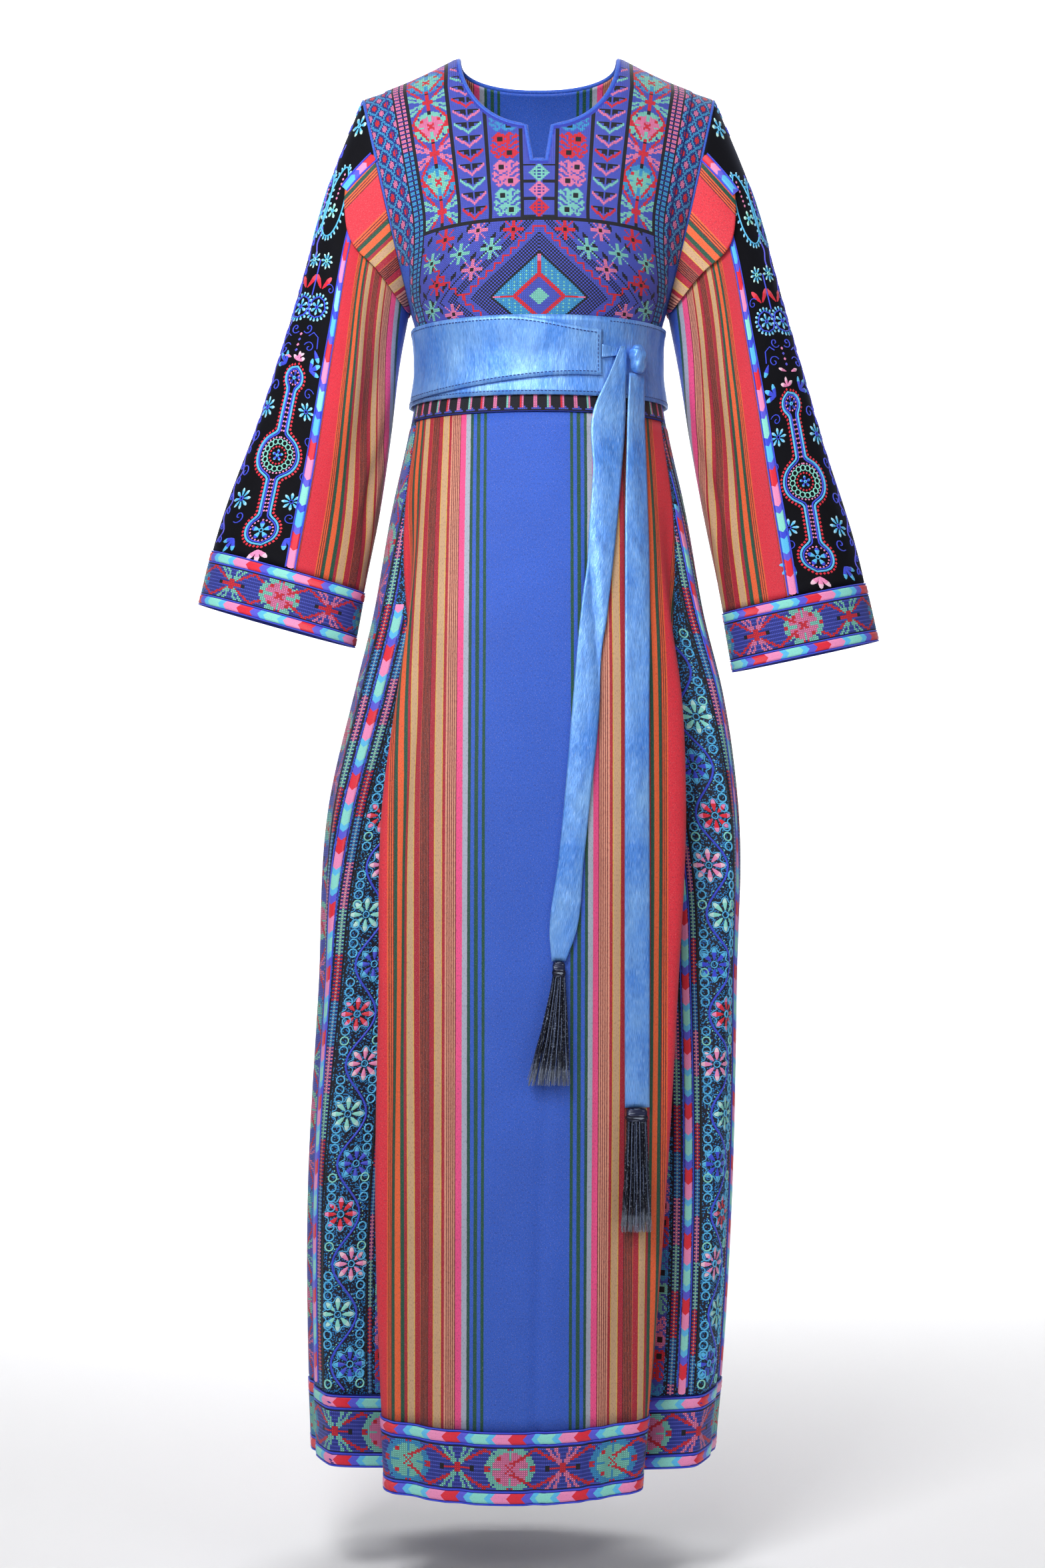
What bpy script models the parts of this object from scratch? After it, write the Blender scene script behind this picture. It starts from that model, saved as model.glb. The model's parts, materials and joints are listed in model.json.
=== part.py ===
"""Palestinian thobe: a long embroidered dress with wide sleeves, a wound belt and two tasselled tails.

The dress is worn, so it is a hollow, open form. Metres, +Z up, the front faces -Y. The origin is the
centre of the neck opening, level with the shoulder seams beside it.
"""

import math

import bmesh
import bpy
import numpy as np

SEAM = 0.0003            # gap between two pieces at a seam
CLOTH = 0.0018           # wall of the woven panels
SLEEVE_CLOTH = 0.0021
TRIM = 0.0012            # wall of a braid
CHEST_WALL = 0.0013

WAIST_Z = -0.366         # seam between the bodice and the skirt
ARM_TOP = (0.176, -0.040)      # x, z of the shoulder tip
ARM_FOOT = (0.129, -0.252)     # x, z of the underarm point
ARM_HALF_DEPTH = 0.055
NECK_HALF_WIDTH = 0.081
NECK_DROP_FRONT = 0.086
NECK_DROP_BACK = 0.022
NOTCH_HALF_TOP = 0.0142
NOTCH_HALF_FOOT = 0.0085
NOTCH_FOOT_Z = -0.122
SHOULDER_ROUND = 0.14    # height over which a shoulder rounds over into the chest or the back
SHOULDER_DIP = 0.003     # how far a shoulder seam sags below a straight line
TIP_SHARE = 0.71         # depth of the armhole's edge at the shoulder tip, as a share of the bodice's own
HEM_SIDE_Z = -1.384
HEM_DIP = 0.024          # how much lower the hem hangs at the middle of the front and the back
HEM_BAND = 0.069
PANEL_HEM_SHARE = 0.27   # share of the half girth at the hem that the front or the back panel takes

BODY_COLUMNS = ("z", "half_width", "front", "back", "centre_x", "square", "panel")
BODY_ROWS = (
    (0.020, 0.190, 0.080, 0.072, 0.000, 2.0, 0.150),
    (-0.060, 0.190, 0.089, 0.080, 0.000, 2.0, 0.150),
    (-0.120, 0.180, 0.099, 0.087, 0.000, 2.0, 0.150),
    (-0.190, 0.150, 0.117, 0.092, 0.000, 2.0, 0.150),
    (-0.252, 0.129, 0.113, 0.088, 0.000, 2.0, 0.150),
    (-0.276, 0.1225, 0.109, 0.086, 0.000, 2.0, 0.150),
    (-0.310, 0.1205, 0.104, 0.084, 0.000, 2.0, 0.150),
    (-0.366, 0.128, 0.107, 0.092, 0.000, 2.0, 0.150),
    (-0.450, 0.146, 0.121, 0.110, 0.000, 2.1, 0.156),
    (-0.560, 0.166, 0.136, 0.128, 0.000, 2.3, 0.168),
    (-0.634, 0.184, 0.143, 0.137, 0.000, 2.4, 0.176),
    (-0.742, 0.204, 0.150, 0.146, -0.005, 2.45, 0.186),
    (-0.930, 0.209, 0.156, 0.153, -0.011, 2.45, 0.197),
    (-1.144, 0.212, 0.162, 0.160, -0.019, 2.40, 0.197),
    (-1.300, 0.207, 0.166, 0.163, -0.023, 2.35, 0.197),
    (-1.410, 0.200, 0.169, 0.164, -0.026, 2.30, 0.197),
)

# Vertical folds of the skirt: places are shares of the half girth from the middle of the front.
FOLD_COLUMNS = ("share_waist", "share_hem", "half_share", "depth_left", "depth_right", "z_start", "z_full")
FOLD_ROWS = (
    (0.350, 0.275, 0.066, 0.060, 0.052, -0.400, -0.820),
    (0.660, 0.700, 0.066, 0.050, 0.054, -0.420, -0.880),
    (0.500, 0.500, 0.045, 0.014, 0.012, -0.480, -1.000),
    (0.150, 0.165, 0.040, 0.006, 0.005, -0.600, -1.250),
    (0.880, 0.850, 0.050, 0.012, 0.010, -0.450, -1.000),
)

# Sleeve: in the front view each section runs from an outer to an inner point.
SLEEVE_COLUMNS = ("t", "outer_x", "outer_z", "inner_x", "inner_z", "half_depth", "centre_y", "velvet_deg")
SLEEVE_ROWS = (
    (0.00, 0.1760, -0.0400, 0.1290, -0.2520, 0.0550, 0.000, 66.0),
    (0.16, 0.2060, -0.1190, 0.1390, -0.3030, 0.0570, -0.001, 70.0),
    (0.38, 0.2370, -0.2330, 0.1480, -0.3780, 0.0560, -0.004, 77.0),
    (0.62, 0.2795, -0.3600, 0.1590, -0.4550, 0.0530, -0.009, 87.0),
    (0.87, 0.3257, -0.4926, 0.1745, -0.5348, 0.0480, -0.014, 94.0),
    (1.00, 0.3390, -0.5470, 0.1845, -0.5900, 0.0470, -0.016, 95.0),
)
CUFF_T = 0.87
SLEEVE_FOLD_COLUMNS = ("degrees_top", "degrees_cuff", "half_degrees", "depth", "t_from", "t_to")
SLEEVE_FOLD_ROWS = (
    (140.0, 118.0, 26.0, 0.009, 0.02, 0.80),
    (222.0, 244.0, 26.0, 0.009, 0.02, 0.80),
    (-20.0, 20.0, 30.0, 0.003, 0.30, 0.80),
)
# The right sleeve hangs a little lower, its inner edge is a little further out, and its outer edge bows more.
SLEEVE_SIDES = {"left": (-1, 1.000, 0.000, 0.004), "right": (1, 1.072, 0.010, 0.010)}

BELT_TOP_Z = -0.272
BELT_FOOT_Z = -0.350
BELT_WALL = 0.0020
BELT_OFF = 0.0032        # inner face of the belt, out from the body
FLAP_OFF = 0.0062        # inner face of the belt's free end
FLAP_START = -0.43       # share of the half girth, to the left, where the free end comes into view
FLAP_END_X = 0.0572
FLAP_TOP_FALL = 0.0115   # how far the free end's top edge falls, and its foot rises, on the way across
FLAP_FOOT_RISE = 0.0170
TIE_START = (0.0125, -0.0010)      # top and foot of the strap above the knot's middle, at the free end
TIE_STOP = (0.0090, 0.0040)        # and beside the knot
KNOT_CENTRE = (0.0885, -0.3110)
KNOT_HALF = (0.0085, 0.0065, 0.0138)   # along the belt, out from it, up

# Tails: z, middle x, width. The left one gathers into its tassel, the right one ends square.
TAIL_COLUMNS = ("z", "middle_x", "width")
TAILS = {
    "left": (
        (-0.3000, 0.0765, 0.005), (-0.3300, 0.0710, 0.016), (-0.3640, 0.0655, 0.030),
        (-0.4250, 0.0640, 0.027), (-0.6000, 0.0480, 0.025), (-0.8000, 0.0297, 0.024),
        (-0.8700, 0.0215, 0.024), (-0.8940, 0.0180, 0.013),
    ),
    "right": (
        (-0.3251, 0.0893, 0.014), (-0.3640, 0.0908, 0.016), (-0.4570, 0.0926, 0.0215),
        (-0.7000, 0.0924, 0.0230), (-0.9450, 0.0922, 0.0235), (-1.0340, 0.0920, 0.0225),
    ),
}
TAIL_WALL = 0.0015
TAIL_OUT_Z = (-0.460, -0.372, -0.352, -0.330, -0.300)
TAIL_OUT = (0.0026, 0.0050, 0.0064, 0.0088, 0.0090)    # inner face of a tail, out from the body
# Tassels: head width, head height, width and shift of the skirt of threads at its foot, full length.
TASSEL_COLUMNS = ("head_width", "head_height", "foot_width", "foot_shift", "length")
TASSELS = {"left": (0.0120, 0.014, 0.040, -0.0100, 0.118), "right": (0.0200, 0.012, 0.029, -0.0010, 0.118)}
TASSEL_HALF_DEEP = 0.0045
TASSEL_OFF = 0.0030      # back of the head, out from the skirt
TASSEL_LEAN = 0.0035     # how far the threads' ends lean out beyond the skirt's own spread
STRANDS_ACROSS = 10
STRANDS_DEEP = 4

COLOURS = {
    "blue": (0.10, 0.14, 0.62), "stripe": (0.62, 0.16, 0.10), "stitch": (0.12, 0.16, 0.55),
    "velvet": (0.01, 0.01, 0.015), "satin": (0.10, 0.27, 0.66), "braid": (0.75, 0.12, 0.30),
    "thread": (0.10, 0.13, 0.22),
}


# ---------------------------------------------------------------- tables and small curves

def hermite(x, knots, values):
    """Smooth curve through the table's points, with each slope taken from its neighbours."""
    order = np.argsort(knots)
    knots, values = np.asarray(knots)[order], np.asarray(values)[order]
    slopes = np.gradient(values, knots)
    x = np.clip(x, knots[0], knots[-1])
    i = np.clip(np.searchsorted(knots, x) - 1, 0, len(knots) - 2)
    step = knots[i + 1] - knots[i]
    f = (x - knots[i]) / step
    return ((2 * f ** 3 - 3 * f ** 2 + 1) * values[i] + (f ** 3 - 2 * f ** 2 + f) * step * slopes[i]
            + (3 * f ** 2 - 2 * f ** 3) * values[i + 1] + (f ** 3 - f ** 2) * step * slopes[i + 1])


def column(rows, columns, name, at):
    """One named column of a table whose first column is the place, read smoothly at a place."""
    pick = columns.index(name)
    return hermite(at, [row[0] for row in rows], [row[pick] for row in rows])


def body(name, z):
    return column(BODY_ROWS, BODY_COLUMNS, name, z)


def smooth_step(x):
    x = np.clip(x, 0.0, 1.0)
    return x * x * (3 - 2 * x)


def bell(x):
    """A raised cosine: 1 in the middle, 0 at and beyond -1 and 1."""
    return np.where(np.abs(x) < 1, 0.5 + 0.5 * np.cos(np.pi * np.clip(x, -1, 1)), 0.0)


def unit(v):
    return v / np.maximum(np.linalg.norm(v, axis=-1, keepdims=True), 1e-9)


# ---------------------------------------------------------------- girth of the dress below the arms

_curves = {}


def girth_curve(z, side):
    """Half section at height z, middle of the front to middle of the back: length, outward x, y, fold feet.

    A superellipse with the vertical folds pressed in along its normal. The last value holds the lengths
    at which the two deep folds reach furthest in.
    """
    key = (round(float(z), 6), side)
    if key in _curves:
        return _curves[key]
    angle = np.linspace(0, np.pi, 361)
    power = 2.0 / body("square", z)
    reach = np.where(angle < np.pi / 2, body("front", z), body("back", z))
    x = body("half_width", z) * np.abs(np.sin(angle)) ** power
    y = -reach * np.sign(np.cos(angle)) * np.abs(np.cos(angle)) ** power
    length = np.concatenate([[0], np.cumsum(np.hypot(np.diff(x), np.diff(y)))])
    even = np.linspace(0, length[-1], 481)
    x, y = np.interp(even, length, x), np.interp(even, length, y)
    share = even / length[-1]
    push = np.zeros_like(share)
    places = []
    for row in FOLD_ROWS:
        fold = dict(zip(FOLD_COLUMNS, row))
        down = np.clip((WAIST_Z - z) / (WAIST_Z - HEM_SIDE_Z), 0, 1)
        place = fold["share_waist"] + (fold["share_hem"] - fold["share_waist"]) * down
        grown = smooth_step((fold["z_start"] - z) / (fold["z_start"] - fold["z_full"]))
        depth = fold["depth_left" if side < 0 else "depth_right"]
        push = push + depth * grown * bell((share - place) / fold["half_share"])
        places.append(place)
    tangent = unit(np.stack([np.gradient(x), np.gradient(y)], -1))
    tangent[0], tangent[-1] = (1, 0), (-1, 0)
    x, y = x - tangent[:, 1] * push, y + tangent[:, 0] * push
    length = np.concatenate([[0], np.cumsum(np.hypot(np.diff(x), np.diff(y)))])
    feet = np.interp(places[:2], share, length)
    _curves[key] = (length, x, y, feet)
    return _curves[key]


def girth_point(s, z, side):
    """Point at length s from the middle of the front. Past either end it goes on to the other side."""
    length, xs, ys, _ = girth_curve(z, side)
    total = length[-1]
    beyond = -1.0 if s < 0 or s > total else 1.0
    s = abs(s)
    s = 2 * total - s if s > total else s
    x = side * beyond * np.interp(s, length, xs)
    return np.array([body("centre_x", z) + x, np.interp(s, length, ys), z])


def girth_normal(s, z, side, step=0.001):
    along = (girth_point(s + step, z, side) - girth_point(s - step, z, side)) * side
    up = girth_point(s, z + step, side) - girth_point(s, z - step, side)
    return unit(np.cross(along, up))


def hem_z(share):
    """Height of the hem at a share of the half girth."""
    return HEM_SIDE_Z - HEM_DIP * np.cos(np.pi * share) ** 2


def front_s(x, z):
    """Length from the middle of the front to a given x, on the front of the dress."""
    side = 1 if x >= body("centre_x", z) else -1
    length, xs, _, _ = girth_curve(z, side)
    crest = int(np.argmax(xs[:150]))
    return np.interp(abs(x - body("centre_x", z)), xs[:crest], length[:crest]), side


# ---------------------------------------------------------------- meshes

def material(name):
    mat = bpy.data.materials.get(name) or bpy.data.materials.new(name)
    mat.use_nodes = True
    shader = mat.node_tree.nodes["Principled BSDF"]
    shader.inputs["Base Color"].default_value = (*COLOURS[name], 1)
    shader.inputs["Roughness"].default_value = 0.45 if name == "satin" else 0.85
    shader.inputs["Metallic"].default_value = 0.4 if name == "thread" else 0.0
    return mat


def add_mesh(name, points, faces, finish):
    mesh = bpy.data.meshes.new(name)
    mesh.from_pydata([tuple(map(float, p)) for p in points], [], faces)
    work = bmesh.new()
    work.from_mesh(mesh)
    bmesh.ops.triangulate(work, faces=work.faces[:])
    bmesh.ops.recalc_face_normals(work, faces=work.faces[:])
    if work.calc_volume(signed=True) < 0:
        bmesh.ops.reverse_faces(work, faces=work.faces[:])
    work.to_mesh(mesh)
    work.free()
    mesh.shade_smooth()
    mesh.set_sharp_from_angle(angle=math.radians(50))
    mesh.materials.append(material(finish))
    piece = bpy.data.objects.new(name, mesh)
    bpy.context.scene.collection.objects.link(piece)
    return piece


def shell(name, outer, inner, base, finish, ring=False):
    """Closed wall between two grids of points, rows by columns. A ring's columns close on themselves.

    Each cell is cut along its base's shorter diagonal on both faces of the wall, and on any layer that
    shares the base, so walls keep their thickness and layers keep their gap.
    """
    rows, cols = base.shape[:2]
    points = np.concatenate([outer.reshape(-1, 3), inner.reshape(-1, 3)])
    half = rows * cols
    flat = base.reshape(-1, 3)
    faces = []
    for r in range(rows - 1):
        for c in range(cols if ring else cols - 1):
            d = (c + 1) % cols
            a, b, e, f = r * cols + c, r * cols + d, (r + 1) * cols + d, (r + 1) * cols + c
            falling = np.linalg.norm(flat[a] - flat[e]) <= np.linalg.norm(flat[b] - flat[f])
            for three in (((a, b, e), (a, e, f)) if falling else ((a, b, f), (b, e, f))):
                faces.append(three)
                faces.append(tuple(half + corner for corner in reversed(three)))
    for c in range(cols if ring else cols - 1):
        d = (c + 1) % cols
        faces.append((c, half + c, half + d, d))
        a, b = (rows - 1) * cols + c, (rows - 1) * cols + d
        faces.append((b, half + b, half + a, a))
    if not ring:
        for r in range(rows - 1):
            a, b = r * cols, (r + 1) * cols
            faces.append((b, half + b, half + a, a))
            a, b = a + cols - 1, b + cols - 1
            faces.append((a, half + a, half + b, b))
    return add_mesh(name, points, faces, finish)


def layer(name, points, normals, low, high, finish, ring=False):
    """Wall that lies from low to high, measured out along the normals of a grid of points."""
    return shell(name, points + high * normals, points + low * normals, points, finish, ring)


# ---------------------------------------------------------------- bodice

def arm_edge(z):
    """x and depth of the armhole's edge at height z: an oval that stands between its top and its foot."""
    middle = (ARM_TOP[1] + ARM_FOOT[1]) / 2
    reach = (ARM_TOP[1] - ARM_FOOT[1]) / 2
    c = np.clip((z - middle) / reach, -1, 1)
    x = (ARM_TOP[0] + ARM_FOOT[0]) / 2 + (ARM_TOP[0] - ARM_FOOT[0]) / 2 * c
    return x, ARM_HALF_DEPTH * np.sqrt(np.maximum(1 - c * c, 0))


def shoulder_z(x):
    """Shoulder seam: straight from the neck to the tip, with a slight sag."""
    f = np.clip((np.abs(x) - NECK_HALF_WIDTH) / (ARM_TOP[0] - NECK_HALF_WIDTH), 0, 1)
    return ARM_TOP[1] * f - SHOULDER_DIP * np.sin(np.pi * f)


def neck_z(x, face):
    """Neckline: half an ellipse, deeper at the front, where a short notch is cut into it."""
    drop = NECK_DROP_FRONT if face < 0 else NECK_DROP_BACK
    f = np.clip(np.abs(x) / NECK_HALF_WIDTH, 0, 1)
    z = -drop * np.sqrt(1 - f ** 2.3)
    return np.where((face < 0) & (np.abs(x) < NOTCH_HALF_TOP - 0.0001), NOTCH_FOOT_Z, z)


def shoulder_fall(x, z):
    """Share of the full depth at height z: 0 on the shoulder seam, 1 from SHOULDER_ROUND below it."""
    t = np.clip((shoulder_z(x) - z) / SHOULDER_ROUND, 0, 1)
    return np.sqrt(1 - (1 - t) ** 2)


def bodice_sweep(z, face):
    """Half width and depth of the ellipse that the section follows at height z, at the front or the back."""
    depth = body("front" if face < 0 else "back", z)
    edge_x, edge_y = arm_edge(z)
    if z <= ARM_FOOT[1]:
        return body("half_width", z), depth
    share = TIP_SHARE
    if z < ARM_TOP[1] - 0.001:
        share = min(edge_y / (depth * shoulder_fall(edge_x, z)), 0.95)
    return edge_x / math.sqrt(1 - share ** 2), depth


def column_spread(z):
    """Angle that spaces the columns: a quarter turn below the arm, less above it."""
    return math.pi / 2 - 0.62 * float(smooth_step((z - ARM_FOOT[1]) / 0.09))


def column_x(u, z):
    """x of a column at height z; u runs from -1 to 1 between the armholes or the side seams."""
    most = column_spread(z)
    edge = arm_edge(z)[0] if z > ARM_FOOT[1] else body("half_width", z)
    return edge * math.sin(u * most) / math.sin(most)


def bodice_depth(x, z, face):
    width, depth = bodice_sweep(z, face)
    return depth * math.sqrt(max(1 - (x / width) ** 2, 0)) * float(shoulder_fall(x, z))


def bodice_point(u, z, face):
    """Point of the bodice at u across it; face is -1 at the front and 1 at the back."""
    x = column_x(u, z)
    return np.array([x, face * (bodice_depth(x, z, face) + SEAM / 2), z])


def bodice_normal(x, z, face, step=0.0002):
    """Outward normal from the slopes of the depth, read just below the shoulder seam."""
    z = min(z, float(shoulder_z(x)) - 5 * step)
    slope_x = (bodice_depth(x + step, z, face) - bodice_depth(x - step, z, face)) / (2 * step)
    slope_z = (bodice_depth(x, z + step, face) - bodice_depth(x, z - step, face)) / (2 * step)
    return unit(np.array([-slope_x, face, -slope_z]))


def column_u(x_top, face):
    """The u of the column that reaches the neckline or the shoulder seam at x_top, and its top's height."""
    x = abs(x_top)
    if x >= ARM_TOP[0]:
        return math.copysign(1.0, x_top), ARM_TOP[1]
    z = float(neck_z(x, face)) if x < NECK_HALF_WIDTH else float(shoulder_z(x))
    most = column_spread(z)
    edge = arm_edge(z)[0]
    return math.copysign(math.asin(x * math.sin(most) / edge) / most, x_top), z


def bodice_grid(columns, face, foot_z):
    """Points and outward normals of one bodice piece: level rows to the bust, then rows that crowd to the top."""
    rows = len(BODICE_LEVELS) + BODICE_UPPER_ROWS
    points = np.zeros((rows + 1, len(columns), 3))
    normals = np.zeros_like(points)
    for c, x_top in enumerate(columns):
        u, z_top = column_u(x_top, face)
        levels = [foot_z] + list(BODICE_LEVELS)
        for k in range(1, BODICE_UPPER_ROWS + 1):
            levels.append(levels[len(BODICE_LEVELS)] + (z_top - BODICE_LEVELS[-1])
                          * (1 - (1 - k / BODICE_UPPER_ROWS) ** 2))
        for r, z in enumerate(levels):
            points[r, c] = bodice_point(u, z, face)
            n = bodice_normal(points[r, c, 0], z, face)
            if r == 0:
                n = unit(n * (1, 1, 0))
            if r > len(BODICE_LEVELS) and abs(x_top) <= NECK_HALF_WIDTH:
                # Beside the neck the columns lie close together, so their walls are kept in their planes.
                n = unit(n * (0, 1, 1))
            if r == rows and abs(x_top) >= NECK_HALF_WIDTH:
                n = unit(n * (1, 0, 1))
            normals[r, c] = n
    return points, normals


def mirrored(values):
    """A list of places made symmetric about 0, which it holds once."""
    return [-v for v in reversed(values)] + [0.0] + list(values)


NECK_ANGLES = np.radians([28, 50, 68])
NECK_COLUMNS = [NECK_HALF_WIDTH * math.sin(a) for a in NECK_ANGLES] + [NECK_HALF_WIDTH]
SHOULDER_COLUMNS = [0.105, 0.130, 0.154, ARM_TOP[0]]
BODICE_LEVELS = (-0.336, -0.306, -0.277, -0.252, -0.222, -0.190)
BODICE_UPPER_ROWS = 6
FRONT_COLUMNS = mirrored([NOTCH_HALF_FOOT, NOTCH_HALF_TOP] + NECK_COLUMNS + SHOULDER_COLUMNS)
BACK_COLUMNS = mirrored(NECK_COLUMNS + SHOULDER_COLUMNS)
BINDING = 0.0032


def make_bodice():
    foot = WAIST_Z + SEAM
    front, front_n = bodice_grid(FRONT_COLUMNS, -1, foot)
    layer("bodice_front", front, front_n, -CLOTH, 0.0, "blue")
    back, back_n = bodice_grid(BACK_COLUMNS, 1, foot)
    layer("bodice_back", back, back_n, -CLOTH, 0.0, "stripe")
    # The embroidered chest panel lies on the bodice's own points, all but the strip beside each armhole.
    chest, chest_n = front[:, 1:-1].copy(), front_n[:, 1:-1]
    layer("chest_panel", chest, chest_n, SEAM, SEAM + CHEST_WALL, "stitch")
    make_neck_binding(front, front_n, back, back_n)


def make_neck_binding(front, front_n, back, back_n):
    """A narrow fold of cloth round the neckline, just inside the edges of the bodice and the chest panel."""
    last = len(SHOULDER_COLUMNS) - 1
    edge = np.concatenate([front[-1, last + 1:-last - 1], back[-1, last + 1:-last - 1][::-1][1:-1]])
    normal = np.concatenate([front_n[-1, last + 1:-last - 1], back_n[-1, last + 1:-last - 1][::-1][1:-1]])
    forward = np.roll(edge, -1, axis=0) - np.roll(edge, 1, axis=0)
    into = unit(np.cross(unit(forward), normal))
    into *= np.where(np.sum(into * (np.array([0, 0, 0.02]) - edge), axis=1, keepdims=True) < 0, -1, 1)
    corners = []
    gap = 2 * SEAM
    for inward, out in ((gap, -0.0012), (gap + BINDING, -0.0012), (gap + BINDING, 0.0022), (gap, 0.0022)):
        corners.append(edge + inward * into + out * normal)
    grid = np.array(corners)
    points = grid.reshape(-1, 3)
    count = len(edge)
    faces = []
    for k in range(4):
        for c in range(count):
            d = (c + 1) % count
            m = (k + 1) % 4
            faces.append((k * count + c, k * count + d, m * count + d, m * count + c))
    add_mesh("neck_binding", points, faces, "blue")


# ---------------------------------------------------------------- skirt

FRONT_U = np.array([-1, -.95, -.9, -.84, -.77, -.68, -.57, -.45, -.32, -.16, 0,
                    .16, .32, .45, .57, .68, .77, .84, .9, .95, 1.0])
BACK_U = FRONT_U
FOLD_T = 0.105           # place across a side panel of the foot of each deep fold
SIDE_T = np.array([0, .035, .07, FOLD_T, .14, .18, .23, .3, .38, .46, .54, .62, .7, .77, .82, .86, 1 - FOLD_T,
                   .93, .965, 1.0])
SKIRT_V = np.array([0, .05, .11, .17, .23, .3, .37, .45, .53, .61, .69, .77, .85, .93, 1.0])


def panel_place(kind, f, z, side):
    """Length from the middle of the front, and nominal share of the half girth, of a place in a panel."""
    total = girth_curve(z, side)[0][-1]
    panel = float(body("panel", z))
    if kind == "front":
        return abs(f) * (panel - SEAM / 2), abs(f) * PANEL_HEM_SHARE
    if kind == "back":
        return total - abs(f) * (panel - SEAM / 2), 1 - abs(f) * PANEL_HEM_SHARE
    start, stop = panel + SEAM / 2, total - panel - SEAM / 2
    # One column runs down the foot of each deep fold, where the side panel holds it.
    feet = girth_curve(z, side)[3]
    near = (stop - start) * 0.06
    front_foot = max(feet[0], start + near)
    back_foot = min(feet[1], stop - near)
    s = np.interp(f, [0, FOLD_T, 1 - FOLD_T, 1], [start, front_foot, back_foot, stop])
    return float(s), PANEL_HEM_SHARE + (1 - 2 * PANEL_HEM_SHARE) * f


def skirt_node(kind, f, v, side, top, foot_lift):
    """Point and normal of a panel at f across it and v down it."""
    _, share = panel_place(kind, f, HEM_SIDE_Z, side)
    z = top + (hem_z(share) + foot_lift - top) * v
    s, _ = panel_place(kind, f, z, side)
    normal = girth_normal(s, z, side)
    if v in (0, 1):
        normal = unit(normal * (1, 1, 0))
    return girth_point(s, z, side), normal


def skirt_grid(places, rows, top, foot_lift):
    """Grid over (kind, f, side) places and v rows."""
    cells = [[skirt_node(kind, f, v, side, top, foot_lift) for kind, f, side in places] for v in rows]
    return (np.array([[cell[0] for cell in row] for row in cells]),
            np.array([[cell[1] for cell in row] for row in cells]))


def side_of(u):
    return 1 if u >= 0 else -1


def make_skirt():
    top = WAIST_Z - SEAM
    for kind, finish, values in (("front", "stripe", FRONT_U), ("back", "stripe", BACK_U)):
        places = [(kind, u, side_of(u)) for u in values]
        points, normals = skirt_grid(places, SKIRT_V, top, HEM_BAND + SEAM)
        layer("skirt_" + kind, points, normals, -CLOTH, 0.0, finish)
    for word, side in (("left", -1), ("right", 1)):
        places = [("side", t, side) for t in SIDE_T]
        points, normals = skirt_grid(places, SKIRT_V, top, HEM_BAND + SEAM)
        layer("skirt_side_" + word, points, normals, -CLOTH, 0.0, "stitch")


def make_hem_band():
    """The embroidered band that runs all round the foot of the dress."""
    places = [("front", u, 1) for u in FRONT_U if u >= 0][:-1]
    places += [("side", t, 1) for t in SIDE_T]
    places += [("back", u, 1) for u in BACK_U[::-1] if u >= 0][1:]
    places += [("back", u, -1) for u in BACK_U[::-1] if u < 0][:-1]
    places += [("side", t, -1) for t in SIDE_T[::-1]]
    places += [("front", u, -1) for u in FRONT_U if u < 0][1:]
    band = []
    for lift in (HEM_BAND, HEM_BAND / 2, 0.0):
        row = []
        for kind, f, side in places:
            _, share = panel_place(kind, f, HEM_SIDE_Z, side)
            z = float(hem_z(share)) + lift
            s, _ = panel_place(kind, f, z, side)
            row.append((girth_point(s, z, side), unit(girth_normal(s, z, side) * (1, 1, 0))))
        band.append(row)
    points = np.array([[cell[0] for cell in row] for row in band])
    normals = np.array([[cell[1] for cell in row] for row in band])
    layer("hem_band", points, normals, -CLOTH, 0.0006, "stitch", ring=True)


# ---------------------------------------------------------------- sleeves

def sleeve(name, t):
    return column(SLEEVE_ROWS, SLEEVE_COLUMNS, name, t)


def sleeve_section(t, which):
    """Middle, half vector to the outer edge, and half depth of a sleeve's section."""
    side, drop, shift, bow = SLEEVE_SIDES[which]
    away = 0.0007 * (1 - min(t / 0.16, 1))
    outer = np.array([sleeve("outer_x", t) + away + bow * math.sin(math.pi * min(t / CUFF_T, 1)), 0,
                      ARM_TOP[1] + (sleeve("outer_z", t) - ARM_TOP[1]) * drop])
    inner = np.array([sleeve("inner_x", t) + away + shift * smooth_step(t / 0.8), 0,
                      ARM_FOOT[1] + (sleeve("inner_z", t) - ARM_FOOT[1]) * drop])
    middle, arm = (outer + inner) / 2, (outer - inner) / 2
    middle[1] = sleeve("centre_y", t)
    return middle * (side, 1, 1), arm * (side, 1, 1), float(sleeve("half_depth", t))


def sleeve_fold(degrees, t):
    push = 0.0
    for row in SLEEVE_FOLD_ROWS:
        fold = dict(zip(SLEEVE_FOLD_COLUMNS, row))
        half_run = (fold["t_to"] - fold["t_from"]) / 2
        window = bell((t - fold["t_from"] - half_run) / half_run)
        foot = fold["degrees_top"] + (fold["degrees_cuff"] - fold["degrees_top"]) * t
        turn = (degrees - foot + 180) % 360 - 180
        push += fold["depth"] * float(window) * float(bell(turn / fold["half_degrees"]))
    return push


def sleeve_point(degrees, t, which):
    """0 degrees is the outer edge, 90 the front, 180 the inner edge."""
    middle, arm, deep = sleeve_section(t, which)
    a = math.radians(degrees)
    shrink = 1 - sleeve_fold(degrees, t) / (deep * 1.2)
    return middle + arm * (math.cos(a) * shrink) + np.array([0, -deep * math.sin(a) * shrink, 0])


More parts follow.
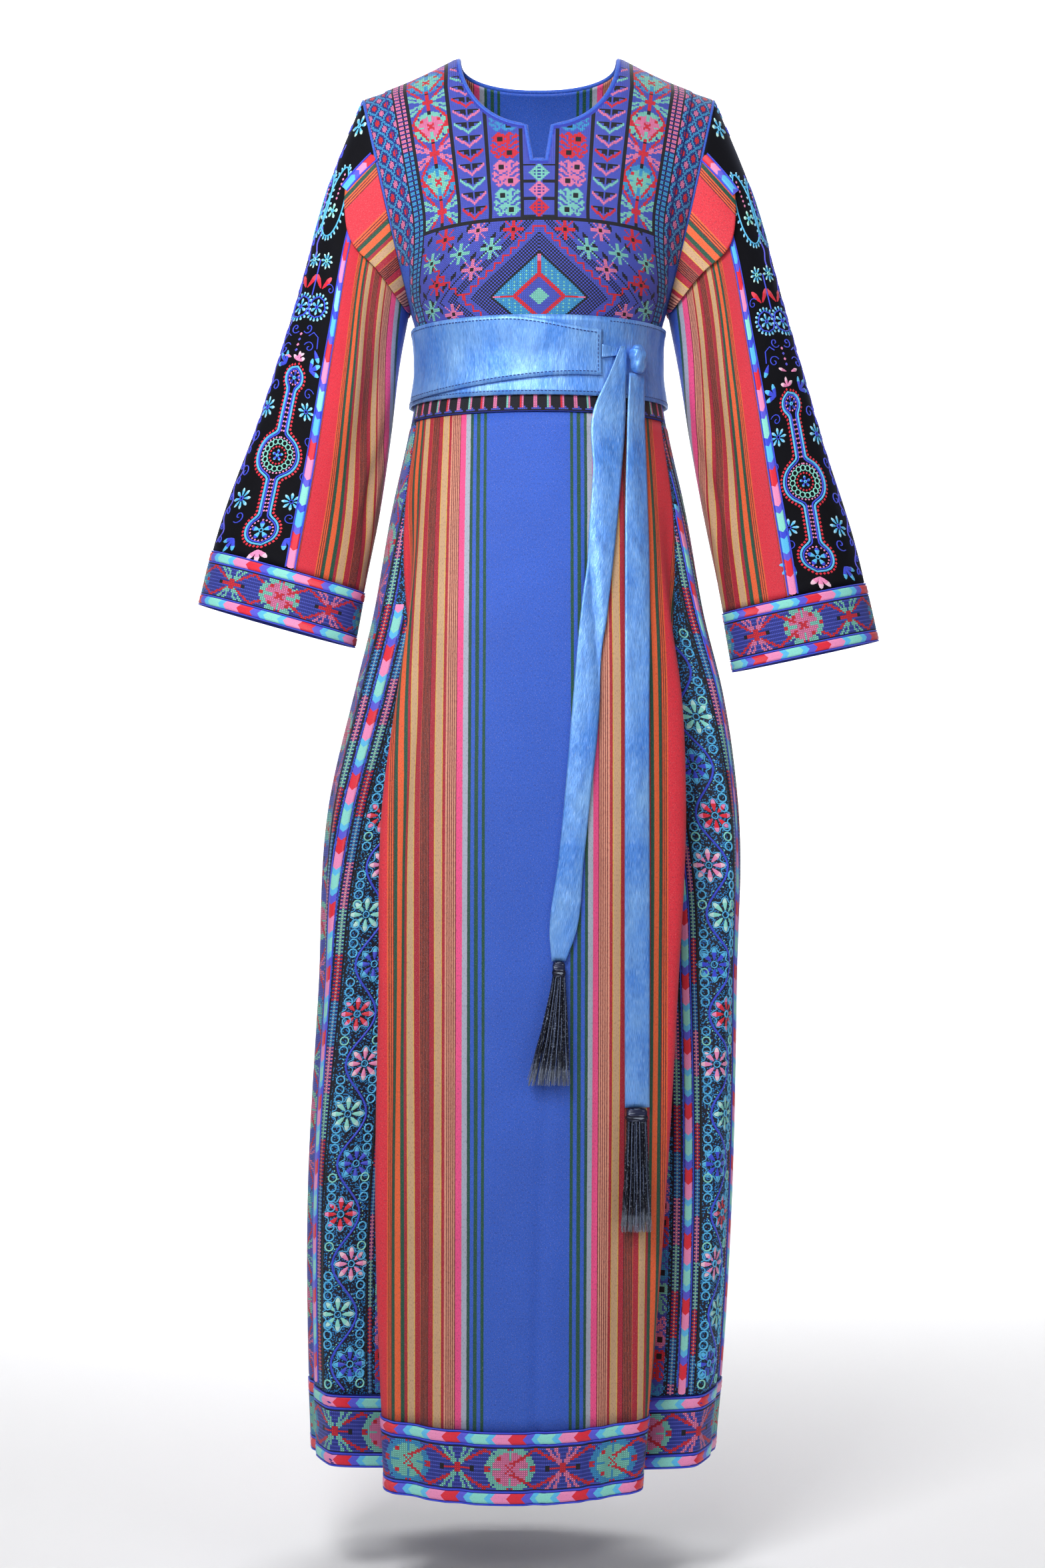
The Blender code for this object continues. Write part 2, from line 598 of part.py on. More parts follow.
def sleeve_normal(degrees, t, which):
    side = SLEEVE_SIDES[which][0]
    around = sleeve_point(degrees + 1, t, which) - sleeve_point(degrees - 1, t, which)
    low, high = max(t - 0.01, 0), min(t + 0.01, 1)
    along = sleeve_point(degrees, high, which) - sleeve_point(degrees, low, which)
    true = unit(np.cross(around, along)) * side
    _, arm, _ = sleeve_section(t, which)
    plane = unit(np.cross(unit(arm), np.array([0.0, 1.0, 0.0])))
    flat = unit(np.cross(around, plane))
    flat = flat * math.copysign(1, float(np.dot(flat, true)))
    keep = min(t / 0.1 + (1 - math.cos(math.radians(degrees))) / 2, 1.0)
    return unit(flat * (1 - keep) + true * keep)


def sleeve_grid(edges, count, rows, which):
    """Grid between two edges, each a function that gives degrees at t."""
    points, normals = [], []
    for t in rows:
        low, high = edges(t)
        turn = [low + (high - low) * k / count for k in range(count + 1)]
        points.append([sleeve_point(d, t, which) for d in turn])
        normals.append([sleeve_normal(d, t, which) for d in turn])
    return np.array(points), np.array(normals)


SEAM_DEGREES = 0.22
BRAID_WIDTH_DEGREES = 8.0
SLEEVE_T = [0.0, 0.05, 0.11, 0.18, 0.25, 0.33, 0.42, 0.51, 0.60, 0.69, 0.78, CUFF_T - 0.001]


def make_sleeve(which):
    def velvet_edge(t):
        return float(sleeve("velvet_deg", t))

    points, normals = sleeve_grid(lambda t: (-velvet_edge(t) + SEAM_DEGREES, velvet_edge(t) - SEAM_DEGREES),
                                  10, SLEEVE_T, which)
    layer("sleeve_velvet_" + which, points, normals, -SLEEVE_CLOTH, 0.0, "velvet")
    points, normals = sleeve_grid(lambda t: (velvet_edge(t) + SEAM_DEGREES, 360 - velvet_edge(t) - SEAM_DEGREES),
                                  14, SLEEVE_T, which)
    layer("sleeve_stripe_" + which, points, normals, -SLEEVE_CLOTH, 0.0, "stripe")
    for word, sign in (("front", 1), ("back", -1)):
        points, normals = sleeve_grid(
            lambda t: (sign * velvet_edge(t) - BRAID_WIDTH_DEGREES / 2,
                       sign * velvet_edge(t) + BRAID_WIDTH_DEGREES / 2), 2, SLEEVE_T[1:], which)
        layer(f"sleeve_braid_{word}_{which}", points, normals, 0.0005, 0.0005 + TRIM, "braid")
    rows = [CUFF_T + 0.001, (CUFF_T + 1) / 2, 1.0]
    points, normals = sleeve_grid(lambda t: (0.0, 360.0), 28, rows, which)
    layer("cuff_" + which, points[:, :-1], normals[:, :-1], -SLEEVE_CLOTH, 0.0006, "stitch", ring=True)


# ---------------------------------------------------------------- belt, knot, tails and tassels

def belt_grid(shares, tops, feet, rows):
    """Grid over signed shares of the half girth from the middle of the front, between two edges."""
    points, normals = [], []
    for r in range(rows + 1):
        line_p, line_n = [], []
        for share, top, foot in zip(shares, tops, feet):
            z = top + (foot - top) * r / rows
            side = side_of(share)
            s = abs(share) * girth_curve(z, side)[0][-1]
            line_p.append(girth_point(s, z, side))
            line_n.append(girth_normal(s, z, side))
        points.append(line_p)
        normals.append(line_n)
    return np.array(points), np.array(normals)


def share_at(x, z):
    """Signed share of the half girth at a given x on the front."""
    s, side = front_s(x, z)
    return side * s / girth_curve(z, side)[0][-1]


def make_belt():
    count = 44
    shares = [2 * k / count - 1 for k in range(count)]
    points, normals = belt_grid(shares, [BELT_TOP_Z] * count, [BELT_FOOT_Z] * count, 2)
    layer("belt_wrap", points, normals, BELT_OFF, BELT_OFF + BELT_WALL, "satin", ring=True)
    # The free end comes round from the left and crosses the front, narrowing as it goes.
    count = 22
    way = np.linspace(0, 1, count + 1)
    stop = share_at(FLAP_END_X, (BELT_TOP_Z + BELT_FOOT_Z) / 2)
    tops = BELT_TOP_Z - 0.0004 - FLAP_TOP_FALL * smooth_step((way - 0.55) / 0.45)
    feet = BELT_FOOT_Z + 0.0030 + FLAP_FOOT_RISE * smooth_step(way / 0.95)
    points, normals = belt_grid(FLAP_START + (stop - FLAP_START) * way, tops, feet, 2)
    layer("belt_flap", points, normals, FLAP_OFF, FLAP_OFF + BELT_WALL, "satin")
    # A short strap leads from the free end to the knot.
    start = share_at(FLAP_END_X + 0.0006, KNOT_CENTRE[1])
    stop = share_at(KNOT_CENTRE[0] - KNOT_HALF[0] - 0.0004, KNOT_CENTRE[1])
    tops = KNOT_CENTRE[1] + np.linspace(TIE_START[0], TIE_STOP[0], 5)
    feet = KNOT_CENTRE[1] + np.linspace(TIE_START[1], TIE_STOP[1], 5)
    points, normals = belt_grid(np.linspace(start, stop, 5), tops, feet, 1)
    layer("belt_tie", points, normals, FLAP_OFF, FLAP_OFF + BELT_WALL, "satin")


def make_knot():
    """A firm rounded lump on the belt, wrapped by one turn of the strap."""
    x0, z0 = KNOT_CENTRE
    s, side = front_s(x0, z0)
    normal = girth_normal(s, z0, side)
    normal = unit(normal * (1, 1, 0))
    centre = girth_point(s, z0, side) + (BELT_OFF + BELT_WALL + 3 * SEAM + KNOT_HALF[1]) * normal
    across = np.cross(normal, (0, 0, 1)) * -1
    rings, around = 8, 14
    points, faces = [], []
    for r in range(1, rings):
        tilt = math.pi * r / rings
        for k in range(around):
            turn = 2 * math.pi * k / around
            wide = math.sin(tilt) ** 0.6
            x = KNOT_HALF[0] * wide * math.copysign(abs(math.cos(turn)) ** 0.7, math.cos(turn))
            y = KNOT_HALF[1] * wide * math.copysign(abs(math.sin(turn)) ** 0.7, math.sin(turn))
            z = KNOT_HALF[2] * math.copysign(abs(math.cos(tilt)) ** 0.7, math.cos(tilt))
            points.append(centre + x * across + y * normal + np.array([0, 0, z]))
    for r in range(rings - 2):
        for k in range(around):
            m = (k + 1) % around
            faces.append((r * around + k, r * around + m, (r + 1) * around + m, (r + 1) * around + k))
    top, foot = len(points), len(points) + 1
    points += [centre + np.array([0, 0, KNOT_HALF[2]]), centre - np.array([0, 0, KNOT_HALF[2]])]
    last = (rings - 2) * around
    for k in range(around):
        m = (k + 1) % around
        faces.append((top, m, k))
        faces.append((foot, last + k, last + m))
    add_mesh("belt_knot", points, faces, "satin")


def tail_out(z):
    """How far a tail's inner face lies out from the body: over the belt, then down on to the skirt."""
    return np.interp(z, TAIL_OUT_Z, TAIL_OUT)


def make_tail(which):
    rows = TAILS[which]
    ends = rows[0][0], rows[-1][0]
    heights = np.linspace(ends[0], ends[1], 21)
    across = np.linspace(-0.5, 0.5, 4)
    points, normals = [], []
    for z in heights:
        middle = float(column(rows, TAIL_COLUMNS, "middle_x", z))
        width = float(column(rows, TAIL_COLUMNS, "width", z))
        line_p, line_n = [], []
        for a in across:
            x = middle + a * width
            s, side = front_s(x, z)
            n = unit(girth_normal(s, z, side) * (1, 1, 0))
            # A long soft crease stands the ribbon's middle a little proud.
            crease = 0.0012 * math.cos(math.pi * a) * (0.5 + 0.5 * math.sin(z * 23 + a * 3))
            line_p.append(girth_point(s, z, side) + (float(tail_out(z)) + crease) * n)
            line_n.append(n)
        points.append(line_p)
        normals.append(line_n)
    layer("tail_" + which, np.array(points), np.array(normals), 0.0, TAIL_WALL, "satin")


def make_tassel(which):
    """A bound head whose foot is a plate of cells, each drawn down into one three-sided strand."""
    size = dict(zip(TASSEL_COLUMNS, TASSELS[which]))
    head_width, head_height, full = size["head_width"], size["head_height"], size["length"]
    _, middle, _ = TAILS[which][-1]
    top_z = TAILS[which][-1][0] - SEAM
    s, side = front_s(middle, top_z)
    normal = unit(girth_normal(s, top_z, side) * (1, 1, 0))
    across = np.cross((0, 0, 1), normal)
    across = across * math.copysign(1, across[0])
    start = girth_point(s, top_z, side) + (TASSEL_OFF + TASSEL_HALF_DEEP) * normal
    # The threads lie on the skirt, which spreads below the head.
    spread_out = girth_point(s, top_z - full, side) - girth_point(s, top_z, side)
    lean = float(np.dot(spread_out, normal)) + TASSEL_LEAN

    def place(x, y, down):
        return start + x * across + y * normal - np.array([0, 0, down])

    nx, ny = STRANDS_ACROSS, STRANDS_DEEP
    points, faces = [], []
    rings = ((0.62, 0.0), (1.0, 0.25), (1.0, 1.0))
    for wide, down in rings:
        for j in range(ny + 1):
            for i in range(nx + 1):
                x = (i / nx - 0.5) * head_width * wide
                y = (j / ny - 0.5) * 2 * TASSEL_HALF_DEEP * wide
                points.append(place(x, y, head_height * down))
    sheet = (nx + 1) * (ny + 1)
    rim = [i for i in range(nx + 1)]
    rim += [j * (nx + 1) + nx for j in range(1, ny + 1)]
    rim += [ny * (nx + 1) + i for i in range(nx - 1, -1, -1)]
    rim += [j * (nx + 1) for j in range(ny - 1, 0, -1)]
    for j in range(ny):
        for i in range(nx):
            a = j * (nx + 1) + i
            faces.append((a, a + 1, a + nx + 2, a + nx + 1))
    for k in range(2):
        for p, q in zip(rim, rim[1:] + rim[:1]):
            faces.append((k * sheet + p, (k + 1) * sheet + p, (k + 1) * sheet + q, k * sheet + q))
    spread = size["foot_width"] / head_width
    for j in range(ny):
        for i in range(nx):
            a = 2 * sheet + j * (nx + 1) + i
            corners = (a, a + nx + 1, a + nx + 2, a + 1)
            u, v = (i + 0.5) / nx - 0.5, (j + 0.5) / ny - 0.5
            # Odd strands end a little higher, and each row leans by its own small amount.
            end = full - 0.004 * ((3 * i + 5 * j) % 4) / 3
            base = len(points)
            stations = ((head_height, 1.0, 0.00042), ((head_height + end) / 2, 0.5 + spread * 0.42, 0.0006),
                        (end, spread, 0.0007))
            for down, scale, thick in stations:
                way = (down - head_height) / (full - head_height)
                x = u * head_width * scale + size["foot_shift"] * way ** 1.3
                y = v * 2 * TASSEL_HALF_DEEP * (1 + 0.3 * way) + lean * way
                for dx, dy in ((-0.9, -0.7), (-0.9, 0.7), (0.9, 0.0)):
                    points.append(place(x + dx * thick, y + dy * thick, down))
            b0, b1, b2 = base, base + 1, base + 2
            faces.append((corners[0], corners[1], b1, b0))
            faces.append((corners[1], corners[2], b2, b1))
            faces.append((corners[2], corners[3], b2))
            faces.append((corners[3], corners[0], b0, b2))
            for k in range(2):
                low, high = base + 3 * k, base + 3 * (k + 1)
                for m in range(3):
                    n = (m + 1) % 3
                    faces.append((low + m, low + n, high + n, high + m))
            faces.append((base + 6, base + 7, base + 8))
    add_mesh("tassel_" + which, points, faces, "thread")


for existing in list(bpy.data.objects):
    bpy.data.objects.remove(existing, do_unlink=True)
make_bodice()
make_skirt()
make_hem_band()
for which_side in SLEEVE_SIDES:
    make_sleeve(which_side)
make_belt()
make_knot()
for which_side in TAILS:
    make_tail(which_side)
    make_tassel(which_side)
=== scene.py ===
"""Looks of the Palestinian thobe: woven stripes, cross-stitch, couched cord, velvet, satin and tassels.

Metres, +Z up, the front faces -Y. Every cloth is a thin wall on the surface of its own solid, and every
stitch lies on the cloth that carries it.
"""

import json

import bpy
import numpy as np
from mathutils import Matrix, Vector

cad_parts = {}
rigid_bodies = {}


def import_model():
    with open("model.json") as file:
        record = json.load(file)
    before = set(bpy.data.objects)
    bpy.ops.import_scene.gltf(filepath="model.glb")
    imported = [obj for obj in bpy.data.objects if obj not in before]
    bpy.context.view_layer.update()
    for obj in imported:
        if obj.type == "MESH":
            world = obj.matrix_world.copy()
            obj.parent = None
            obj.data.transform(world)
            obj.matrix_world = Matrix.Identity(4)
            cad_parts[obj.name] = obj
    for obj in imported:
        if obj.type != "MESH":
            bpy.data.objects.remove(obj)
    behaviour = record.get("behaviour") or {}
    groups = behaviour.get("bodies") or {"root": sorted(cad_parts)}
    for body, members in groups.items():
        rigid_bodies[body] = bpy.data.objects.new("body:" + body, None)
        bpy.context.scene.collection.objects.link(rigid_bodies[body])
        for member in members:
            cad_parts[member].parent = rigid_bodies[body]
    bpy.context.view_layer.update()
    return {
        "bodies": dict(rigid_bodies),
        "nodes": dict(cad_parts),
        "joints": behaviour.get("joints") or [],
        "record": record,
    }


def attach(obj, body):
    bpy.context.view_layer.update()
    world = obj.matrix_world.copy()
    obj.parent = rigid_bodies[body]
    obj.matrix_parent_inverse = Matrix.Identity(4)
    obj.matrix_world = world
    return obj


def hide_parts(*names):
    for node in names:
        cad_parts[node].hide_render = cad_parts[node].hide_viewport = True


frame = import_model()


# ================================================================ bodice
# Blue cotton cut as a front and a back, sewn at the shoulders and the sides. The front shows only as a
# strip under each arm, since the embroidered chest panel lies on it. The back is striped like the skirt.

SEAM = 0.0003
CLOTH = 0.0018
WAIST_Z = -0.366
ARM_TOP = (0.176, -0.040)
ARM_FOOT = (0.129, -0.252)
ARM_HALF_DEPTH = 0.055
NECK_HALF_WIDTH = 0.081
NECK_DROPS = {-1: 0.086, 1: 0.022}
NOTCH_HALF_TOP, NOTCH_HALF_FOOT, NOTCH_FOOT_Z = 0.0142, 0.0085, -0.122
SHOULDER_ROUND = 0.14
SHOULDER_DIP = 0.003
TIP_SHARE = 0.71

# Section of the body at each height: half width, depths to the front and back, shift, squareness, and
# half width of the front and the back panel of the skirt.
BODY_COLUMNS = ("z", "half_width", "front", "back", "centre_x", "square", "panel")
BODY_ROWS = np.array([
    (0.020, 0.190, 0.080, 0.072, 0.000, 2.0, 0.150), (-0.060, 0.190, 0.089, 0.080, 0.000, 2.0, 0.150),
    (-0.120, 0.180, 0.099, 0.087, 0.000, 2.0, 0.150), (-0.190, 0.150, 0.117, 0.092, 0.000, 2.0, 0.150),
    (-0.252, 0.129, 0.113, 0.088, 0.000, 2.0, 0.150), (-0.276, 0.1225, 0.109, 0.086, 0.000, 2.0, 0.150),
    (-0.310, 0.1205, 0.104, 0.084, 0.000, 2.0, 0.150), (-0.366, 0.128, 0.107, 0.092, 0.000, 2.0, 0.150),
    (-0.450, 0.146, 0.121, 0.110, 0.000, 2.1, 0.156), (-0.560, 0.166, 0.136, 0.128, 0.000, 2.3, 0.168),
    (-0.634, 0.184, 0.143, 0.137, 0.000, 2.4, 0.176), (-0.742, 0.204, 0.150, 0.146, -0.005, 2.45, 0.186),
    (-0.930, 0.209, 0.156, 0.153, -0.011, 2.45, 0.197), (-1.144, 0.212, 0.162, 0.160, -0.019, 2.40, 0.197),
    (-1.300, 0.207, 0.166, 0.163, -0.023, 2.35, 0.197), (-1.410, 0.200, 0.169, 0.164, -0.026, 2.30, 0.197),
])


def smooth_curve(x, knots, values):
    """Smooth curve through a table's points: a cubic between neighbours, slopes taken from both sides."""
    order = np.argsort(knots)
    knots, values = np.asarray(knots, float)[order], np.asarray(values, float)[order]
    slopes = np.gradient(values, knots)
    x = np.clip(x, knots[0], knots[-1])
    i = np.clip(np.searchsorted(knots, x) - 1, 0, len(knots) - 2)
    step = knots[i + 1] - knots[i]
    f = (x - knots[i]) / step
    return ((2 * f ** 3 - 3 * f ** 2 + 1) * values[i] + (f ** 3 - 2 * f ** 2 + f) * step * slopes[i]
            + (3 * f ** 2 - 2 * f ** 3) * values[i + 1] + (f ** 3 - f ** 2) * step * slopes[i + 1])


def body(name, z):
    """One measure of the body at height z, smooth between the rows of its table."""
    return smooth_curve(z, BODY_ROWS[:, 0], BODY_ROWS[:, BODY_COLUMNS.index(name)])


def smooth_step(x):
    """Eases from 0 to 1: three times the square less twice the cube."""
    x = np.clip(x, 0.0, 1.0)
    return x * x * (3 - 2 * x)


def bell(x):
    """A raised cosine: 1 in the middle, 0 at and beyond -1 and 1."""
    return np.where(np.abs(x) < 1, 0.5 + 0.5 * np.cos(np.pi * np.clip(x, -1, 1)), 0.0)


def unit(v):
    """Vectors divided by their own length."""
    return v / np.maximum(np.linalg.norm(v, axis=-1, keepdims=True), 1e-9)


def arm_edge(z):
    """x and depth of the armhole's edge at height z: an oval that stands between its top and its foot."""
    middle, reach = (ARM_TOP[1] + ARM_FOOT[1]) / 2, (ARM_TOP[1] - ARM_FOOT[1]) / 2
    c = np.clip((z - middle) / reach, -1, 1)
    x = (ARM_TOP[0] + ARM_FOOT[0]) / 2 + (ARM_TOP[0] - ARM_FOOT[0]) / 2 * c
    return x, ARM_HALF_DEPTH * np.sqrt(np.maximum(1 - c * c, 0))


def shoulder_z(x):
    """Height of the shoulder seam: a straight fall from neck to arm with a shallow dip of a sine."""
    f = np.clip((np.abs(x) - NECK_HALF_WIDTH) / (ARM_TOP[0] - NECK_HALF_WIDTH), 0, 1)
    return ARM_TOP[1] * f - SHOULDER_DIP * np.sin(np.pi * f)


def neck_top(x, face):
    """Neckline: half an ellipse, deeper at the front, where a short notch with sloping sides is cut."""
    f = np.clip(np.abs(x) / NECK_HALF_WIDTH, 0, 1)
    z = -NECK_DROPS[face] * np.sqrt(1 - f ** 2.3)
    if face < 0:
        slope = (np.abs(x) - NOTCH_HALF_FOOT) / (NOTCH_HALF_TOP - NOTCH_HALF_FOOT)
        side = NOTCH_FOOT_Z + np.clip(slope, 0, 1) * (-NECK_DROPS[face] - NOTCH_FOOT_Z)
        z = np.where(np.abs(x) < NOTCH_HALF_TOP, np.minimum(side, z), z)
    return z


def shoulder_fall(x, z):
    """Share of the full depth: a quarter circle from the shoulder seam down."""
    t = np.clip((shoulder_z(x) - z) / SHOULDER_ROUND, 0, 1)
    return np.sqrt(1 - (1 - t) ** 2)


def bodice_sweep(z, face):
    """Half width and depth of the ellipse that the bodice's section follows at height z."""
    depth = body("front" if face < 0 else "back", z)
    edge_x, edge_y = arm_edge(z)
    share = np.minimum(edge_y / np.maximum(depth * shoulder_fall(edge_x, z), 1e-6), 0.95)
    share = np.where(z < ARM_TOP[1] - 0.001, share, TIP_SHARE)
    return np.where(z <= ARM_FOOT[1], body("half_width", z), edge_x / np.sqrt(1 - share ** 2)), depth


def column_spread(z):
    """Angle that the outermost column stands at: a right angle, less beside the armhole."""
    return np.pi / 2 - 0.62 * smooth_step((z - ARM_FOOT[1]) / 0.09)


def column_x(u, z):
    """x of column u at height z: the edge times the sine of its share of the spread."""
    most = column_spread(z)
    edge = np.where(z > ARM_FOOT[1], arm_edge(z)[0], body("half_width", z))
    return edge * np.sin(u * most) / np.sin(most)


def bodice_depth(x, z, face):
    """Depth of the cloth: an ellipse across, times the fall from the shoulder."""
    width, depth = bodice_sweep(z, face)
    return depth * np.sqrt(np.maximum(1 - (x / width) ** 2, 0)) * shoulder_fall(x, z)


def bodice_point(u, z, face):
    """Point of the bodice on column u at height z, half a seam off the middle plane."""
    x = column_x(u, z)
    return np.stack([x, face * (bodice_depth(x, z, face) + SEAM / 2), z + 0 * x], -1)


def bodice_normal(x, z, face, step=0.0002):
    """Outward normal from the slopes of the depth, read just below the shoulder seam."""
    z = np.minimum(z, shoulder_z(x) - 5 * step)
    slope_x = (bodice_depth(x + step, z, face) - bodice_depth(x - step, z, face)) / (2 * step)
    slope_z = (bodice_depth(x, z + step, face) - bodice_depth(x, z - step, face)) / (2 * step)
    return unit(np.stack([-slope_x, face + 0 * slope_x, -slope_z], -1))


def column_u(x_top, face):
    """The u of the column that ends at x_top on the neckline or the shoulder seam, and its top's height."""
    x = np.abs(x_top)
    z = np.where(x < NECK_HALF_WIDTH, neck_top(x, face), shoulder_z(x))
    most = column_spread(z)
    u = np.arcsin(np.clip(x * np.sin(most) / arm_edge(z)[0], -1, 1)) / most
    return np.sign(x_top) * np.where(x >= ARM_TOP[0] - 1e-9, 1.0, u), z


def bodice_grid(columns, face, foot_z, rows=70):
    """Points and normals of a bodice piece: rows even in height at first, crowding to the top."""
    u, z_top = column_u(columns, face)
    f = np.linspace(0, 1, rows + 1)[:, None]
    z = foot_z + (z_top - foot_z) * (0.45 * f + 0.55 * (1 - (1 - f) ** 2))
    points = bodice_point(u + 0 * z, z, face)
    return points, bodice_normal(points[..., 0], z, face)


def run_along(path):
    """Length walked from the start of a path to each of its points."""
    return np.concatenate([[0], np.cumsum(np.linalg.norm(np.diff(path, axis=0), axis=1))])


def add_mesh(name, points, faces, uv=None, colours=None, rides=True):
    """Mesh object from arrays: points n by 3, lists of corners, uv for each point, colour for each face."""
    mesh = bpy.data.meshes.new(name)
    faces = np.asarray(faces).tolist() if not isinstance(faces, list) else faces
    mesh.from_pydata(np.asarray(points, float).reshape(-1, 3).tolist(), [], faces)
    if uv is not None:
        layer = mesh.uv_layers.new(name="UVMap")
        corners = np.concatenate(faces)
        layer.data.foreach_set("uv", np.asarray(uv, np.float32)[corners].ravel())
    if colours is not None:
        threads = mesh.color_attributes.new(name="thread", type="FLOAT_COLOR", domain="CORNER")
        corner = np.repeat(np.concatenate([colours, np.ones((len(colours), 1))], 1), len(faces[0]), 0)
        threads.data.foreach_set("color", corner.astype(np.float32).ravel())
    mesh.polygons.foreach_set("use_smooth", np.full(len(mesh.polygons), True))
    mesh.update()
    piece = bpy.data.objects.new(name, mesh)
    bpy.context.scene.collection.objects.link(piece)
    if rides:
        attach(piece, "root")
    return piece


def grid_index(points, start=0):
    """Number of each point of a grid, row by row."""
    return start + np.arange(points.shape[0] * points.shape[1]).reshape(points.shape[:2])


def quads(index, ring=False):
    """The four corners of each cell of a numbered grid; the last column of a ring meets its first."""
    left, right = (index, np.roll(index, -1, -1)) if ring else (index[..., :-1], index[..., 1:])
    return np.stack([left[..., :-1, :], right[..., :-1, :], right[..., 1:, :], left[..., 1:, :]], -1)


def wall(name, points, normals, low, high, uv, ring=False):
    """Closed wall between two faces of a grid, from low to high along its normals, rims included."""
    index = grid_index(points)
    outer, inner = points + high * normals, points + low * normals
    half = index.size
    face = quads(index, ring).reshape(-1, 4)
    faces = [face, face[:, ::-1] + half]

    def rim(p, q, turn):
        """Faces that close the wall along a row of points p, each with its neighbour in q."""
        faces.append(np.stack([p, p + half, q + half, q], -1)[:, ::turn])

    ends, nexts = (index, np.roll(index, -1, 1)) if ring else (index[:, :-1], index[:, 1:])
    for k, turn in ((0, 1), (-1, -1)):
        rim(ends[k], nexts[k], turn)
    if not ring:
        for k, turn in ((0, -1), (-1, 1)):
            rim(index[:-1, k], index[1:, k], turn)
    faces = np.concatenate(faces)
    both = np.concatenate([outer.reshape(-1, 3), inner.reshape(-1, 3)])
    middle = face[len(face) // 2]
    across = np.cross(both[middle[1]] - both[middle[0]], both[middle[3]] - both[middle[0]])
    if np.dot(across, normals.reshape(-1, 3)[middle[0]]) < 0:
        faces = faces[:, ::-1]
    return add_mesh(name, both, faces, np.concatenate([uv.reshape(-1, 2)] * 2))


def colour(code):
    """Linear colour from a six-figure web code."""
    c = np.array([int(code[k:k + 2], 16) for k in (1, 3, 5)]) / 255
    return np.where(c < 0.04045, c / 12.92, ((c + 0.055) / 1.055) ** 2.4)


def operator(operation, swapped=False):
    """A method that adds one Math node, with its own socket first unless swapped."""
    def method(self, *others):
        values = (*others, self) if swapped else (self, *others)
        return self.finish.node("ShaderNodeMath", {"operation": operation}, *values)
    return method


class Value:
    """A shader socket that takes part in sums: each operator adds one Math node."""

    def __init__(self, finish, socket):
        self.finish, self.socket = finish, socket

    __add__ = __radd__ = operator("ADD")
    __sub__ = operator("SUBTRACT")
    __rsub__ = operator("SUBTRACT", swapped=True)
    __mul__ = __rmul__ = operator("MULTIPLY")
    __truediv__ = operator("DIVIDE")
    __lt__ = operator("LESS_THAN")
    __gt__ = operator("GREATER_THAN")
    abs = operator("ABSOLUTE")
    fraction = operator("FRACT")
    sine = operator("SINE")
    most = operator("MAXIMUM")


class Finish:
    """A material under construction, with its Principled shader and one way to add any other node."""

    def __init__(self, name, **constants):
        self.material = bpy.data.materials.new(name)
        self.material.use_nodes = True
        self.tree = self.material.node_tree
        self.shader = self.tree.nodes["Principled BSDF"]
        for key, value in constants.items():
            self.shader.inputs[key.replace("_", " ")].default_value = value

    def node(self, kind, settings=None, *values, output=0, **named):
        """Adds a node, sets what it keeps, and fills its sockets in order or by name."""
        node = self.tree.nodes.new(kind)
        for key, value in (settings or {}).items():
            if key == "stops":
                ramp = node.color_ramp
                ramp.interpolation = settings.get("blend", "CONSTANT")
                while len(ramp.elements) < len(value):
                    ramp.elements.new(0.5)
                for element, (place, tint) in zip(ramp.elements, value):
                    element.position, element.color = place, (*tint, 1)
            elif key != "blend":
                setattr(node, key, value)
        for key, value in [*enumerate(values), *((k.replace("_", " "), v) for k, v in named.items())]:
            self.put(node.inputs[key], value)
        return Value(self, node.outputs[output])

    def put(self, socket, value):
        """Links a value to a socket, or sets the socket's own number or colour."""
        if isinstance(value, Value):
            self.tree.links.new(value.socket, socket)
        elif value is not None:
            socket.default_value = (*value, 1) if np.ndim(value) and socket.type == "RGBA" else value

    def mix(self, factor, first, second):
        """The first colour, going over to the second as the factor goes from 0 to 1."""
        unused = [None] * 5
        return self.node("ShaderNodeMix", {"data_type": "RGBA"}, factor, *unused, first, second, output=2)

    def uv(self):
        """The place on the cloth, and its two parts: across, and along."""
        place = self.node("ShaderNodeTexCoord", output="UV")
        parts = self.node("ShaderNodeSeparateXYZ", None, place)
        return place, parts, Value(self, parts.socket.node.outputs[1])

    def thread(self):
        """The thread's own colour, kept for each face."""
        return self.node("ShaderNodeAttribute", {"attribute_name": "thread"}, output="Color")

    def noise(self, place, scale, detail=2.0, stretch=None, roughness=0.5):
        """Cloudy noise at a scale, on a place that may be stretched first."""
        if stretch is not None:
            place = self.node("ShaderNodeMapping", None, Vector=place, Scale=stretch)
        return self.node("ShaderNodeTexNoise", None, Vector=place, Scale=scale, Detail=detail,
                         Roughness=roughness)

    def finish(self, base, height, depth=0.0002, strength=0.6):
        """Joins up the colour and a bump of the given depth."""
        self.put(self.shader.inputs["Base Color"], base)
        bump = self.node("ShaderNodeBump", None, Strength=strength, Distance=depth, Height=height)
        self.put(self.shader.inputs["Normal"], bump)
        return self.material


BLUE, GREEN, GREY, PINK = colour("#2E5ECC"), colour("#12503A"), colour("#AEB4C8"), colour("#F8508E")
PEACH, MAROON, CRIMSON = colour("#E29A80"), colour("#701A20"), colour("#B01F34")
TAN, YELLOW, DARK, RUST = colour("#CFA680"), colour("#E2BA48"), colour("#34161C"), colour("#BE4E36")
ORANGE, RED = colour("#F26430"), colour("#E62C3E")
